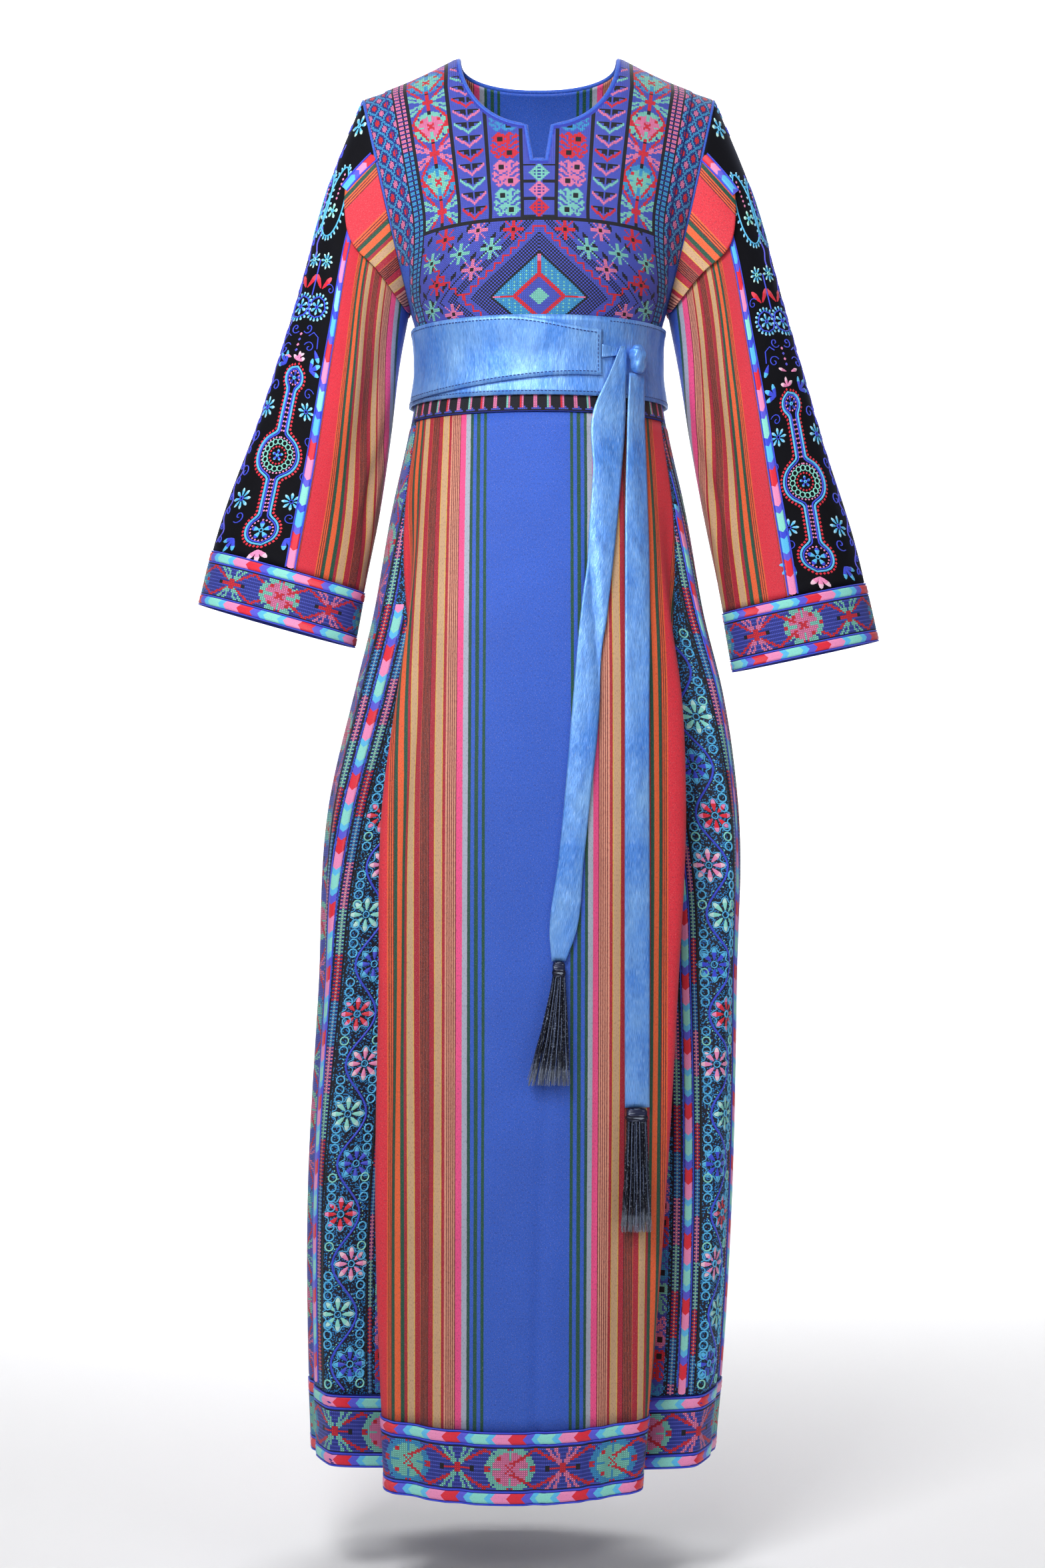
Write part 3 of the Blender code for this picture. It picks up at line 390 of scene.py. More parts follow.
# Stripes from the middle outward: where each starts, in millimetres, and its thread.
STRIPES = (
    (0, BLUE), (43, GREEN), (46.6, BLUE), (50.5, GREEN), (54.2, BLUE), (58.1, GREEN), (61.7, GREY),
    (67, PINK), (73.5, PEACH), (84.5, CRIMSON), (88, YELLOW), (89, TAN), (95.5, YELLOW), (96.5, CRIMSON),
    (102.3, RUST), (111.9, CRIMSON), (117.7, YELLOW), (118.6, TAN), (124.3, YELLOW), (125.2, CRIMSON),
    (128.7, GREEN), (132.4, ORANGE), (138.9, GREEN), (142.6, ORANGE), (149.6, RED), (179.6, ORANGE),
    (186.6, GREEN), (190.6, ORANGE),
)
# Bands of fine lines between stripes: from, to, spacing, share covered, and thread.
FINE_LINES = (
    (73.5, 84.5, 2.2, 0.42, MAROON), (102.3, 111.9, 1.6, 0.62, DARK), (142.6, 149.6, 2.33, 0.45, MAROON),
    (179.6, 186.6, 2.33, 0.45, MAROON),
)
STRIPE_RANGE = 200.0


def woven(name, striped):
    """Striped or plain twill: a ramp across the cloth, fine lines, slubs, and a slanting rib."""
    f = Finish(name, Roughness=0.58, Specular_IOR_Level=0.42, Sheen_Weight=0.06, Sheen_Roughness=0.4)
    place, u, v = f.uv()
    across = u.abs() * 1000.0
    if striped:
        ragged = across + (f.noise(place, 900.0, 1.0, (1.0, 0.25, 1.0)) - 0.5) * 0.55
        stops = [(start / STRIPE_RANGE, tint) for start, tint in STRIPES]
        base = f.node("ShaderNodeValToRGB", {"stops": stops}, ragged / STRIPE_RANGE)
        knots = (v * 5200.0).sine() * 0.10
        for start, stop, spacing, share, tint in FINE_LINES:
            inside = (ragged > start) * (ragged < stop)
            line = ((ragged - start) / spacing).fraction() < (knots + share)
            base = f.mix(inside * line, base, tint)
    else:
        base = BLUE
    slubs = f.noise(place, 420.0, 3.0, (3.0, 1.0, 1.0))
    base = f.mix((slubs - 0.52) * 2.2, base, colour("#1B2A6A") if not striped else colour("#241430"))
    specks = f.noise(place, 1500.0, 1.0, (0.5, 1.6, 1.0))
    base = f.mix((0.40 - specks) * 1.4, base, colour("#F4E8E4"))
    cloud = f.noise(place, 14.0, 2.0)
    base = f.mix(cloud * 0.22, base, colour("#120C20"))
    rib = ((u + v) * 6600.0).sine() * 0.5 + (u * 11000.0).sine() * 0.25 + slubs
    return f.finish(base, rib, depth=0.00022, strength=0.55)


striped_cloth = woven("striped_cloth", True)
blue_cloth = woven("blue_cloth", False)


def dress(piece, material, nodes=()):
    """Gives a piece its material, and hides the solids that it stands for."""
    piece.data.materials.append(material)
    if nodes:
        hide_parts(*nodes)
    return piece


neck_side = [NOTCH_HALF_FOOT * 0.5, NOTCH_HALF_FOOT, (NOTCH_HALF_FOOT + NOTCH_HALF_TOP) / 2, NOTCH_HALF_TOP]
neck_side += list(NECK_HALF_WIDTH * np.sin(np.radians(np.linspace(14, 90, 30))))
shoulder_side = list(np.linspace(NECK_HALF_WIDTH, ARM_TOP[0], 26)[1:])
half_columns = neck_side + shoulder_side
bodice_columns = np.array([-x for x in reversed(half_columns)] + [0.0] + half_columns)
for word, face, material in (("front", -1, blue_cloth), ("back", 1, striped_cloth)):
    points, normals = bodice_grid(bodice_columns, face, WAIST_Z + SEAM)
    # The stripes keep their widths across the back, so they are measured from the middle.
    uv = np.stack([points[..., 0] * 1.12, points[..., 2]], -1)
    bodice_piece = wall(f"bodice_{word}_cloth", points, normals, -CLOTH, 0.0, uv)
    dress(bodice_piece, material, [f"bodice_{word}"])


# ================================================================ chest panel
# A separate panel of cross-stitch on blue canvas, sewn over the bodice's front from shoulder to waist.
# Columns of roses, chevrons and rosettes stand over a field of stars with a large stepped diamond.

class Surface:
    """A cloth surface kept as a grid. Row k lies at v[k]; its columns run evenly from reach[k, 0] to
    reach[k, 1], in metres along the cloth. A place between them is blended from its four neighbours."""

    def __init__(self, v, reach, points, outward):
        self.v, self.reach, self.points = v, reach, points
        self.normals = unit(np.cross(np.gradient(points, axis=1), np.gradient(points, axis=0)))
        middle = points.shape[0] // 2, points.shape[1] // 2
        if np.dot(self.normals[middle], outward) < 0:
            self.normals = -self.normals

    def at(self, s, v, out=0.0):
        """The point at s and v, moved out along the normal there."""
        s, v = np.broadcast_arrays(np.asarray(s, float), np.asarray(v, float))
        rows, cols = self.points.shape[:2]
        row = np.clip(np.interp(v, self.v, np.arange(rows)), 0, rows - 1.001)
        r = row.astype(int)
        fr = row - r
        low = self.reach[r, 0] * (1 - fr) + self.reach[r + 1, 0] * fr
        high = self.reach[r, 1] * (1 - fr) + self.reach[r + 1, 1] * fr
        col = np.clip((s - low) / (high - low) * (cols - 1), 0, cols - 1.001)
        c = col.astype(int)
        fc = col - c
        weights = ((0, 0, (1 - fr) * (1 - fc)), (0, 1, (1 - fr) * fc),
                   (1, 0, fr * (1 - fc)), (1, 1, fr * fc))
        point = sum(w[..., None] * self.points[r + a, c + b] for a, b, w in weights)
        normal = unit(sum(w[..., None] * self.normals[r + a, c + b] for a, b, w in weights))
        return point + np.asarray(out)[..., None] * normal


def bodice_surface(face):
    """The bodice unrolled: s is the length across it at the height of the upper arm, v the length up each
    column from the waist."""
    u = np.linspace(-1, 1, 361)
    z_top = np.zeros_like(u)
    for _ in range(30):
        z_top = shoulder_z(column_x(u, z_top))
    f = np.linspace(0, 1, 500)[:, None]
    z = WAIST_Z + SEAM + (z_top - 0.0002 - WAIST_Z - SEAM) * (1 - (1 - f) ** 2)
    fine = bodice_point(u + 0 * z, z, face)
    steps_up = np.linalg.norm(np.diff(fine, axis=0), axis=2)
    climb = np.concatenate([np.zeros((1, len(u))), np.cumsum(steps_up, 0)])
    v = np.linspace(0, climb.max(), 420)
    height = np.stack([np.interp(v, climb[:, k], z[:, k]) for k in range(len(u))], 1)
    level = bodice_point(u, np.full(len(u), BUST_Z), face)
    across = run_along(level)
    across -= across[len(u) // 2]
    even = np.linspace(across[0], across[-1], 361)
    u_even = np.interp(even, across, u)
    height = np.stack([np.interp(u_even, u, row) for row in height])
    points = bodice_point(u_even + 0 * height, height, face)
    return Surface(v, np.tile([across[0], across[-1]], (len(v), 1)), points, (0, face, 0)), across, u


BUST_Z = -0.130
chest_surface, chest_across, chest_u = bodice_surface(-1)

CHEST_EDGE_X = 0.154
CHEST_LIFT = (SEAM, SEAM + 0.0013)
STITCH = 0.0017
NAVY, INK, FIELD = colour("#1C2A88"), colour("#030309"), colour("#4C5AD0")
ROSE_PINK, MINT, SKY, SCARLET = colour("#F583B4"), colour("#86DCCB"), colour("#3CA2E2"), colour("#EA2438")
THREADS = {
    "field": FIELD, "navy": NAVY, "ink": INK, "gap": colour("#2C3AA8"),
    "pink": ROSE_PINK, "mint": MINT, "sky": SKY, "red": SCARLET,
}


class Chart:
    """A sheet of cross-stitch: a thread for each cell, painted over by one motif after another."""

    def __init__(self, rows, cols, ground="field"):
        self.cells = np.tile(THREADS[ground], (rows, cols, 1))
        self.j, self.i = np.mgrid[0:rows, 0:cols]

    def paint(self, mask, thread):
        """Works every cell of the mask in one thread."""
        self.cells[mask] = THREADS[thread]

    def draw(self, rows_of_text, i0, j0, threads, mirror=False):
        """A small motif given as rows of letters, its foot row last; each letter names a thread."""
        for dj, line in enumerate(reversed(rows_of_text)):
            for di, letter in enumerate(reversed(line) if mirror else line):
                if letter in threads:
                    self.paint((self.i == i0 + di) & (self.j == j0 + dj), threads[letter])


def rosette(chart, i, j, outer, inner, size=10.0):
    """Eight-lobed flower: an octagon notched on its axes and diagonals, with four red seeds."""
    a, b = np.abs(i), np.abs(j)
    high, low = np.maximum(a, b), np.minimum(a, b)
    far = (high + 0.42 * low) * 10.0 / size
    flower = (far < 10.6) & ~((low < 1.1) & (far > 8.0))
    chart.paint(flower, outer)
    chart.paint(flower & (far < 7.6), inner)
    chart.paint(flower & (low < 0.6) & (far > 3.4), outer)
    chart.paint(flower & (np.abs(a - b) < 0.6) & (far > 8.2), "gap")
    chart.paint(flower & (high < 2.1) & (np.abs(a - b) < 0.6), "red")
    chart.paint((np.abs(a - 0.44 * size) < 0.9) & (np.abs(b - 0.44 * size) < 0.9), "red")
    chart.paint((low < 1.1) & (far > 8.4) & (far < 10.2), "red")


def bow(chart, i, j, leaf, size=10.0, upright=False):
    """Four spread leaves on a red knot, with red zigzags that lead on to the rosettes beside it."""
    along, out = (np.abs(j), np.abs(i)) if upright else (np.abs(i), np.abs(j))
    leaves = (out > 0.16 * size) & (out < 0.96 * size)
    leaves &= (along < out * 0.80 + 0.6) & (along > out * 0.30 - 0.4)
    leaves &= ~((np.abs(along - out * 0.55) < 0.6) & (out > 0.55 * size))
    zigzag = np.abs(out - 0.93 * size + np.abs(along - 1.28 * size) * 0.62)
    chart.paint((zigzag < 0.9) & (along > 0.28 * size) & (out > 0.22 * size), "red")
    chart.paint((out < 0.6) & (along < 0.85 * size), "red")
    chart.paint(leaves, leaf)
    chart.paint((along < 1.6) & (out < 2.6), "red")
    chart.paint((out < 1.1) & (along > 0.60 * size) & (along < 0.85 * size), "ink")


def star(chart, i, j, thread):
    """Eight-pointed star, its upright and level arms two stitches thick, round a dark heart."""
    a, b = np.abs(chart.i - i), np.abs(chart.j - j)
    far, near = np.maximum(a, b), np.minimum(a, b)
    chart.paint((far < 6) & (near < 1) & (far > 1), thread)
    chart.paint((far < 5) & (far > 1) & (np.abs(a - b) < 1), thread)
    chart.paint(far < 1, "ink")


# A rose branch with two blossoms; A is its thread, o a dark eye.
ROSE = (
    "....AA....AA....",
    ".A.AAAA.AAAAA...",
    "AAA..AAAAAAAAA..",
    ".AAA.AAAAoooAAA.",
    "...A.AA.AoooAA..",
    ".A..AAAAAoooAAA.",
    "AAA..AAAAAAAA...",
    ".AAA.AA.AAAA..A.",
    "...AA.AA..AA.AAA",
    "AA..AAA.AA..AAA.",
    ".AA...AAAAAA..A.",
    "..AAAAAAAAAAA..A",
    ".AAAoooA.AAA.AAA",
    "AAAAoooAA.A.AAA.",
    ".AAAoooAAAA.A...",
    "..AAAAAAA.AAAA..",
    "...AA.AA...AA...",
)

chest_half = int(np.interp(column_u(np.array(CHEST_EDGE_X), -1)[0], chest_u, chest_across) / STITCH)
chest_rows = int(chest_surface.v[-1] / STITCH)
chest = Chart(chest_rows, 2 * chest_half)
# Stitches counted aside from the panel's middle, and up from its foot.
aside = np.abs(chest.i + 0.5 - chest_half) - 0.5
up = chest.j
FIELD_TOP, DIAMOND_ROW, FOOT_ROWS = 109, 65, 12
# Outer edges of the field, the hatched braid and the net, in stitches from the middle.
FIELD_HALF, BRAID_HALF, NET_HALF = 71, 78, 96

# The star field under the columns: a great diamond in bands, a red stair round it, and dotted diagonals.
lower = (up >= FOOT_ROWS) & (up < FIELD_TOP) & (aside < FIELD_HALF)
level = up - DIAMOND_ROW
reach = aside + np.abs(level)
dotted = (aside + up) % 2 == 0
for low_d, high_d in ((26, 30), (31, 36), (44, 50), (54, 57)):
    chest.paint(lower & (reach >= low_d) & (reach < high_d) & dotted, "ink")
for line in (aside + level, aside - level):
    for k in (60, 82, 104):
        chest.paint(lower & (reach > 58) & (np.abs(line - k) < 2) & (aside % 5 < 3), "ink")
    chest.paint(lower & (reach > 58) & (np.abs(line - 71) < 2) & dotted, "ink")
STAIR = 4
steps = aside // STAIR + np.abs(level) // STAIR
tread = (aside % STAIR == STAIR - 1) | (np.abs(level) % STAIR == STAIR - 1)
chest.paint(lower & (steps == 9) & tread, "red")
beyond = (aside - 40) // STAIR - level // STAIR
tread = ((aside - 40) % STAIR < 1) | (level % STAIR == STAIR - 1)
chest.paint(lower & (aside >= 40) & (level >= 0) & (beyond == 0) & tread, "red")
for low_d, high_d, thread in ((24, 26, "ink"), (13.5, 24, "sky"), (11, 13.5, "red"), (4.5, 11, "field"),
                              (-1, 4.5, "mint")):
    chest.paint(lower & (reach >= low_d) & (reach < high_d), thread)
chest.paint(lower & (reach >= 15) & (reach < 22) & (aside % 3 == 0) & (level % 2 == 0), "mint")
chest.paint(lower & (np.minimum(aside, np.abs(level)) < 1) & (reach > 12) & (reach < 20), "red")
chest.paint(lower & (np.minimum(aside, np.abs(level)) < 1) & (reach >= 20) & (reach < 24), "pink")
STARS = (
    (27, 27, "mint"), (45, 26, "mint"), (36, 16, "pink"), (36, 38, "pink"), (15, 37, "red"),
    (56, 36, "red"), (63, 24, "mint"), (57, 10, "red"), (48, -8, "pink"), (63, -4, "mint"),
    (40, -20, "mint"), (60, -18, "red"),
)
for star_aside, star_level, thread in STARS:
    for sign in (-1, 1):
        star(chest, chest_half - 0.5 + sign * star_aside, DIAMOND_ROW + star_level + 0.5, thread)

# The columns above it: diamonds in the middle, roses, chevrons, and rosettes with bows.
upper = up >= FIELD_TOP
climb = up - FIELD_TOP
for row, thread in ((6, "red"), (17, "pink"), (28, "mint")):
    d = aside + np.abs(climb - row)
    chest.paint(upper & (d < 6) & (aside < 9), thread)
    chest.paint(upper & (d % 2 == 1) & (d < 5) & (aside < 9) & (aside % 2 == 0), "gap")
    chest.paint(upper & (np.abs(climb - row) == 5) & (aside > 1) & (aside < 9), "ink")
for k in range(4):
    for sign in (-1, 1):
        thread = ("mint", "pink", "red", "sky")[k]
        place = chest_half + (11 if sign > 0 else -27)
        chest.draw(ROSE, place, FIELD_TOP + 2 + 18 * k, {"A": thread, "o": "ink"}, mirror=sign < 0)
chevron_a = np.abs(aside - 38)
for k in range(12):
    rise = climb - 9 * k - 1 - chevron_a * 0.75
    thread = ("red", "pink", "mint", "pink")[k % 4]
    here = upper & (chevron_a < 8)
    chest.paint(here & (chevron_a > 0) & (chevron_a < 4) & (rise > 2.6) & (climb < 9 * k + 9), "ink")
    chest.paint(here & (chevron_a > 3) & (climb == 9 * k + 8), "ink")
    chest.paint(here & (rise >= 0) & (rise < 1.8), thread)
for k in range(4):
    middle = 9 + 36 * k
    spot = np.where(upper & (aside > 47) & (aside < 70), aside - 58.5, 99)
    bow(chest, spot, climb - middle, ("mint", "pink")[k % 2], size=11.0, upright=True)
    rosette(chest, spot, climb - middle - 18, ("sky", "mint")[k % 2], ("mint", "pink")[k % 2], size=10.5)
for k in (9, 28, 47, 70):
    chest.paint(upper & ((aside == k) | (aside == k + 1)), "ink")
chest.paint(((up == FIELD_TOP) | (up == FIELD_TOP - 1)) & (aside < FIELD_HALF), "ink")


def panel_border(chart, across, up):
    """The panel's outer border: a hatched braid, a net of diamonds, then comb teeth of changing thread."""
    outside = (across >= FIELD_HALF) & (up >= FOOT_ROWS)
    braid = outside & (across < BRAID_HALF)
    chart.paint(braid, "sky")
    chart.paint(braid & (up > FIELD_TOP + 50), "pink")
    chart.paint(braid & (across == 74), "ink")
    chart.paint(braid & (up % 3 == 0), "navy")
    chart.paint(outside & ((across == FIELD_HALF) | (across == BRAID_HALF)), "ink")
    lattice = outside & (across > BRAID_HALF) & (across < NET_HALF)
    net = np.abs((across - BRAID_HALF - 1) % 8 - 4) * 1.25 + np.abs(up % 12 - 6)
    chart.paint(lattice, "navy")
    chart.paint(lattice & (net > 4.6) & (net < 6.8), "sky")
    chart.paint(lattice & (net > 8.6), "pink")
    chart.paint(lattice & (net < 2.4), "red")
    comb = outside & (across >= NET_HALF)
    chart.paint(comb, "ink")
    for k, thread in enumerate(("red", "pink", "sky", "red", "mint")):
        chart.paint(comb & (up % 2 == 0) & (up // 4 % 5 == k), thread)


panel_border(chest, aside, up)

# The border at the waist: black ovals between bright bars.
foot = up < FOOT_ROWS
bar = (chest.i - chest_half + 3) % 7
chest.paint(foot, "field")
chest.paint(foot & (np.abs(bar - 4.5) + 0.7 * np.abs(up - 5.5) < 4.4), "ink")
for k, thread in enumerate(("pink", "mint", "red")):
    turn = (chest.i - chest_half + 3) // 7 % 3 == k
    chest.paint(foot & (bar < 1) & (up > 1) & (up < 10) & turn, thread)
    chest.paint(foot & (bar == 1) & (up > 1) & (up < 10) & turn, "pink")
chest.paint((up == 0) | (up == FOOT_ROWS - 1), "ink")


def stitched(name, place, cells, keep, lift, sink=0.0004):
    """Cross-stitch laid on cloth: one quad for a stitch, only where keep says, with its edges let into the
    cloth. place(col, row, out) gives points; cols and rows are counted in stitches."""
    rows, cols = keep.shape
    row, col = np.mgrid[0:rows + 1, 0:cols + 1].astype(float)
    inside = np.ones((rows + 1, cols + 1), bool)
    padded = np.zeros((rows + 2, cols + 2), bool)
    padded[1:-1, 1:-1] = keep
    for dr in (0, 1):
        for dc in (0, 1):
            inside &= padded[dr:dr + rows + 1, dc:dc + cols + 1]
    points = place(col, row, np.where(inside, lift, -sink))
    stitches = quads(grid_index(points))[keep]
    points, uv = points.reshape(-1, 3), np.stack([col, row], -1).reshape(-1, 2)
    a, b, _, d = stitches[len(stitches) // 2]
    tall = place(*[np.array([x]) for x in uv[a]], np.array([0.01]))[0] - points[a]
    if np.dot(np.cross(points[b] - points[a], points[d] - points[a]), tall) < 0:
        stitches = stitches[:, ::-1]
    used, stitches = np.unique(stitches, return_inverse=True)
    piece = add_mesh(name, points[used], stitches.reshape(-1, 4), uv[used], cells[keep])
    return dress(piece, cross_stitch)


def stitch_finish():
    """Each quad holds a cross of two plump strands; between its arms the canvas shows, deepened to near
    black toward the cell's edges and corners as painted shade between the raised strands.
    """
    f = Finish("cross_stitch", Roughness=0.62, Specular_IOR_Level=0.35, Sheen_Weight=0.1)
    thread, (place, u, v) = f.thread(), f.uv()
    x, y = u.fraction(), v.fraction()
    first, second = (x - y).abs(), (x + y - 1.0).abs()
    strand = (1.0 - first * 2.4).most(0.0)
    over = (1.0 - second * 2.4).most(0.0)
    cross = strand.most(over * 0.9 + 0.1)
    corner = ((x - 0.5).abs().most((y - 0.5).abs()) * 2.0 - cross * 0.5).most(0.0)
    tone = f.noise(place, 0.35, 2.0)
    # Painted shade: the canvas between the arms of each cross goes near black.
    base = f.mix(corner * 1.05, thread, colour("#04061C"))
    base = f.mix((tone - 0.5) * 0.9, base, colour("#101038"))
    return f.finish(base, cross, depth=0.0004, strength=0.7)


cross_stitch = stitch_finish()


def canvas_finish():
    """Blue canvas between and behind the stitches, an even weave."""
    f = Finish("blue_canvas", Roughness=0.8)
    place, u, v = f.uv()
    weave = (u * 3700.0).sine() * (v * 3700.0).sine()
    base = f.mix(f.noise(place, 300.0, 2.0) * 0.5, colour("#2C3AA8"), colour("#161E66"))
    return f.finish(base, weave, depth=0.0002)


blue_canvas = canvas_finish()

panel_columns = bodice_columns[np.abs(bodice_columns) <= CHEST_EDGE_X + 1e-6]
points, normals = bodice_grid(panel_columns, -1, WAIST_Z + SEAM)
uv = np.stack([points[..., 0], points[..., 2]], -1)
chest_ground = wall("chest_panel_ground", points, normals, *CHEST_LIFT, uv)
dress(chest_ground, blue_canvas, ["chest_panel"])


def chest_place(col, row, out):
    """Place of a stitch on the chest panel, counted from its middle and its foot."""
    return chest_surface.at((col - chest_half) * STITCH, row * STITCH, CHEST_LIFT[1] + out)


centre = chest_place(chest.i + 0.5, chest.j + 0.5, np.zeros(chest.i.shape))
inside_neck = np.abs(centre[..., 0]) < NECK_HALF_WIDTH + 0.001
inside_neck &= centre[..., 2] > neck_top(centre[..., 0], -1) - 0.0022
keep = ~inside_neck & (centre[..., 2] < shoulder_z(centre[..., 0]) - 0.0006)
chest_stitches = stitched("chest_panel_stitches", chest_place, chest.cells, keep, 0.0006)

# Beside the panel, the comb teeth run on over the bodice to the armhole, down to the bust.
COMB_FOOT_Z = -0.214
arm_half = int(chest_across[-1] / STITCH)
comb = Chart(chest_rows, 2 * arm_half)
comb_aside = np.abs(comb.i + 0.5 - arm_half) - 0.5
panel_border(comb, comb_aside, comb.j)


def comb_place(col, row, out):
    """Place of a stitch of the comb, counted from the middle and the foot."""
    return chest_surface.at((col - arm_half) * STITCH, row * STITCH, out)


centre = comb_place(comb.i + 0.5, comb.j + 0.5, np.zeros(comb.i.shape))
ragged = 0.004 * np.sin(comb_aside * 2.1) + 0.25 * (np.abs(centre[..., 0]) - 0.145)
keep = (comb_aside > chest_half - 4) & (centre[..., 2] > COMB_FOOT_Z + ragged)
keep &= centre[..., 2] < shoulder_z(centre[..., 0]) - 0.0006
stitched("bodice_front_comb", comb_place, comb.cells, keep, 0.0006)


# ================================================================ neck binding
# A narrow fold of blue cloth turned over the raw edge of the neckline and down both sides of the notch.
# It is a flat oval in section and stands a little proud of the cloth on both faces.

def neck_edge():
    """Closed line round the neck opening, front then back, with the normals of the cloth beside it."""
    x = np.concatenate([-np.array(neck_side[::-1]), [0.0], neck_side])
    lines = []
    for face in (-1, 1):
        u, z = column_u(x, face)
        p = bodice_point(u, z, face)
        n = bodice_normal(p[:, 0], z, face)
        lines.append((p, n) if face < 0 else (p[::-1][1:-1], n[::-1][1:-1]))
    return np.concatenate([lines[0][0], lines[1][0]]), np.concatenate([lines[0][1], lines[1][1]])


def piping(name, path, into, normals, gap, width, lift, height):
    """Closed fold of cloth along an edge, a flat oval in section: wide along into, proud of both faces."""
    round_about = np.linspace(0, 2 * np.pi, 13)[:-1]
    across, up = gap + width * (0.5 - 0.5 * np.cos(round_about)), lift + height * np.sin(round_about)
    grid = path + across[:, None, None] * into + up[:, None, None] * normals
    index = grid_index(grid)
    below, right = np.roll(index, -1, 0), np.roll(index, -1, 1)
    faces = np.stack([index, right, np.roll(right, -1, 0), below], -1).reshape(-1, 4)
    length = np.cumsum(np.linalg.norm(np.diff(path, axis=0, prepend=path[-1:]), axis=1))
    uv = np.stack(np.broadcast_arrays(round_about[:, None] * 0.001, length), -1)
    flat = grid.reshape(-1, 3)
    across = np.cross(flat[faces[:, 1]] - flat[faces[:, 0]], flat[faces[:, 3]] - flat[faces[:, 0]])
    middle = np.tile(grid.mean(0), (len(grid), 1))
    outward = np.sum(across * (flat - middle)[faces[:, 0]])
    return add_mesh(name, flat, faces if outward > 0 else faces[:, ::-1], uv.reshape(-1, 2))


edge_points, edge_normals = neck_edge()
forward = unit(np.roll(edge_points, -1, 0) - np.roll(edge_points, 1, 0))
into = unit(np.cross(forward, edge_normals))
into *= np.where(np.sum(into * (np.array([0, 0, 0.02]) - edge_points), 1, keepdims=True) < 0, -1, 1)
binding = piping("neck_binding_fold", edge_points, into, edge_normals, -0.0012, 0.0046, 0.0004, 0.0017)
dress(binding, blue_cloth, ["neck_binding"])


# ================================================================ skirt
# A striped front and back with a dark embroidered panel let in at each side, deep folds beside the front
# and the back, and small uneven troughs between them.

HEM_SIDE_Z = -1.384
HEM_DIP = 0.024
HEM_BAND = 0.069
PANEL_HEM_SHARE = 0.27

# Vertical folds: places are shares of the half girth from the middle of the front. The first two are the
# deep ones that hold the side panels; the rest from the sixth on are small creases of the cloth.
FOLD_COLUMNS = ("share_waist", "share_hem", "half_share", "depth_left", "depth_right", "z_start", "z_full")
FOLD_ROWS = (
    (0.350, 0.275, 0.066, 0.060, 0.052, -0.400, -0.820), (0.660, 0.700, 0.066, 0.050, 0.054, -0.420, -0.880),
    (0.500, 0.500, 0.045, 0.014, 0.012, -0.480, -1.000), (0.150, 0.165, 0.040, 0.006, 0.005, -0.600, -1.250),
    (0.880, 0.850, 0.050, 0.012, 0.010, -0.450, -1.000),
    (0.060, 0.085, 0.026, 0.0030, 0.0010, -0.700, -1.150),
    (0.105, 0.125, 0.020, 0.0012, 0.0034, -0.420, -0.560),
    (0.230, 0.215, 0.024, 0.0040, 0.0026, -0.520, -0.780),
    (0.025, 0.035, 0.018, 0.0000, 0.0026, -0.860, -1.300),
    (0.420, 0.415, 0.022, 0.0034, 0.0022, -0.640, -0.900),
    (0.590, 0.600, 0.020, 0.0020, 0.0036, -0.560, -1.100),
    (0.800, 0.790, 0.026, 0.0038, 0.0016, -0.500, -0.900),
    (0.945, 0.940, 0.022, 0.0014, 0.0036, -0.640, -1.200),
)


def girth_half(z, side):
    """Half section from the middle of the front to the middle of the back: lengths, x, y, and fold feet.
    A superellipse with the folds pressed in along its normal."""
    angle = np.linspace(0, np.pi, 361)
    power = 2.0 / body("square", z)
    reach = np.where(angle < np.pi / 2, body("front", z), body("back", z))
    x = body("half_width", z) * np.abs(np.sin(angle)) ** power
    y = -reach * np.sign(np.cos(angle)) * np.abs(np.cos(angle)) ** power
    length = np.concatenate([[0], np.cumsum(np.hypot(np.diff(x), np.diff(y)))])
    even = np.linspace(0, length[-1], 481)
    x, y = np.interp(even, length, x), np.interp(even, length, y)
    share = even / length[-1]
    push, places = np.zeros_like(share), []
    for row in FOLD_ROWS:
        fold = dict(zip(FOLD_COLUMNS, row))
        down = np.clip((WAIST_Z - z) / (WAIST_Z - HEM_SIDE_Z), 0, 1)
        place = fold["share_waist"] + (fold["share_hem"] - fold["share_waist"]) * down
        grown = smooth_step((fold["z_start"] - z) / (fold["z_start"] - fold["z_full"]))
        depth = fold["depth_left" if side < 0 else "depth_right"]
        push = push + depth * grown * bell((share - place) / fold["half_share"])
        places.append(place)
    tangent = unit(np.stack([np.gradient(x), np.gradient(y)], -1))
    tangent[0], tangent[-1] = (1, 0), (-1, 0)
    x, y = x - tangent[:, 1] * push, y + tangent[:, 0] * push
    length = np.concatenate([[0], np.cumsum(np.hypot(np.diff(x), np.diff(y)))])
    return length, x, y, np.interp(places[:2], share, length)


GIRTH_Z = np.linspace(-1.4145, -0.2550, 330)
GIRTH_COLUMNS = 1001


def girth_surface():
    """The whole girth from the belt to the hem; s runs from the middle of the front, left side negative."""
    rows, reach, feet = [], [], []
    for z in GIRTH_Z:
        halves = [girth_half(z, side) for side in (-1, 1)]
        ends = -halves[0][0][-1], halves[1][0][-1]
        s = np.linspace(*ends, GIRTH_COLUMNS)
        left, right = (np.stack([np.interp(np.abs(s), h[0], h[k]) for k in (1, 2)], -1) for h in halves)
        flat = np.where(s[:, None] < 0, left * (-1, 1), right)
        rows.append(np.column_stack([flat[:, 0] + body("centre_x", z), flat[:, 1], np.full(len(s), z)]))
        reach.append(ends)
        feet.append([h[3] for h in halves])
    return Surface(GIRTH_Z, np.array(reach), np.array(rows), (0, -1, 0)), np.array(feet)


girth, girth_feet = girth_surface()


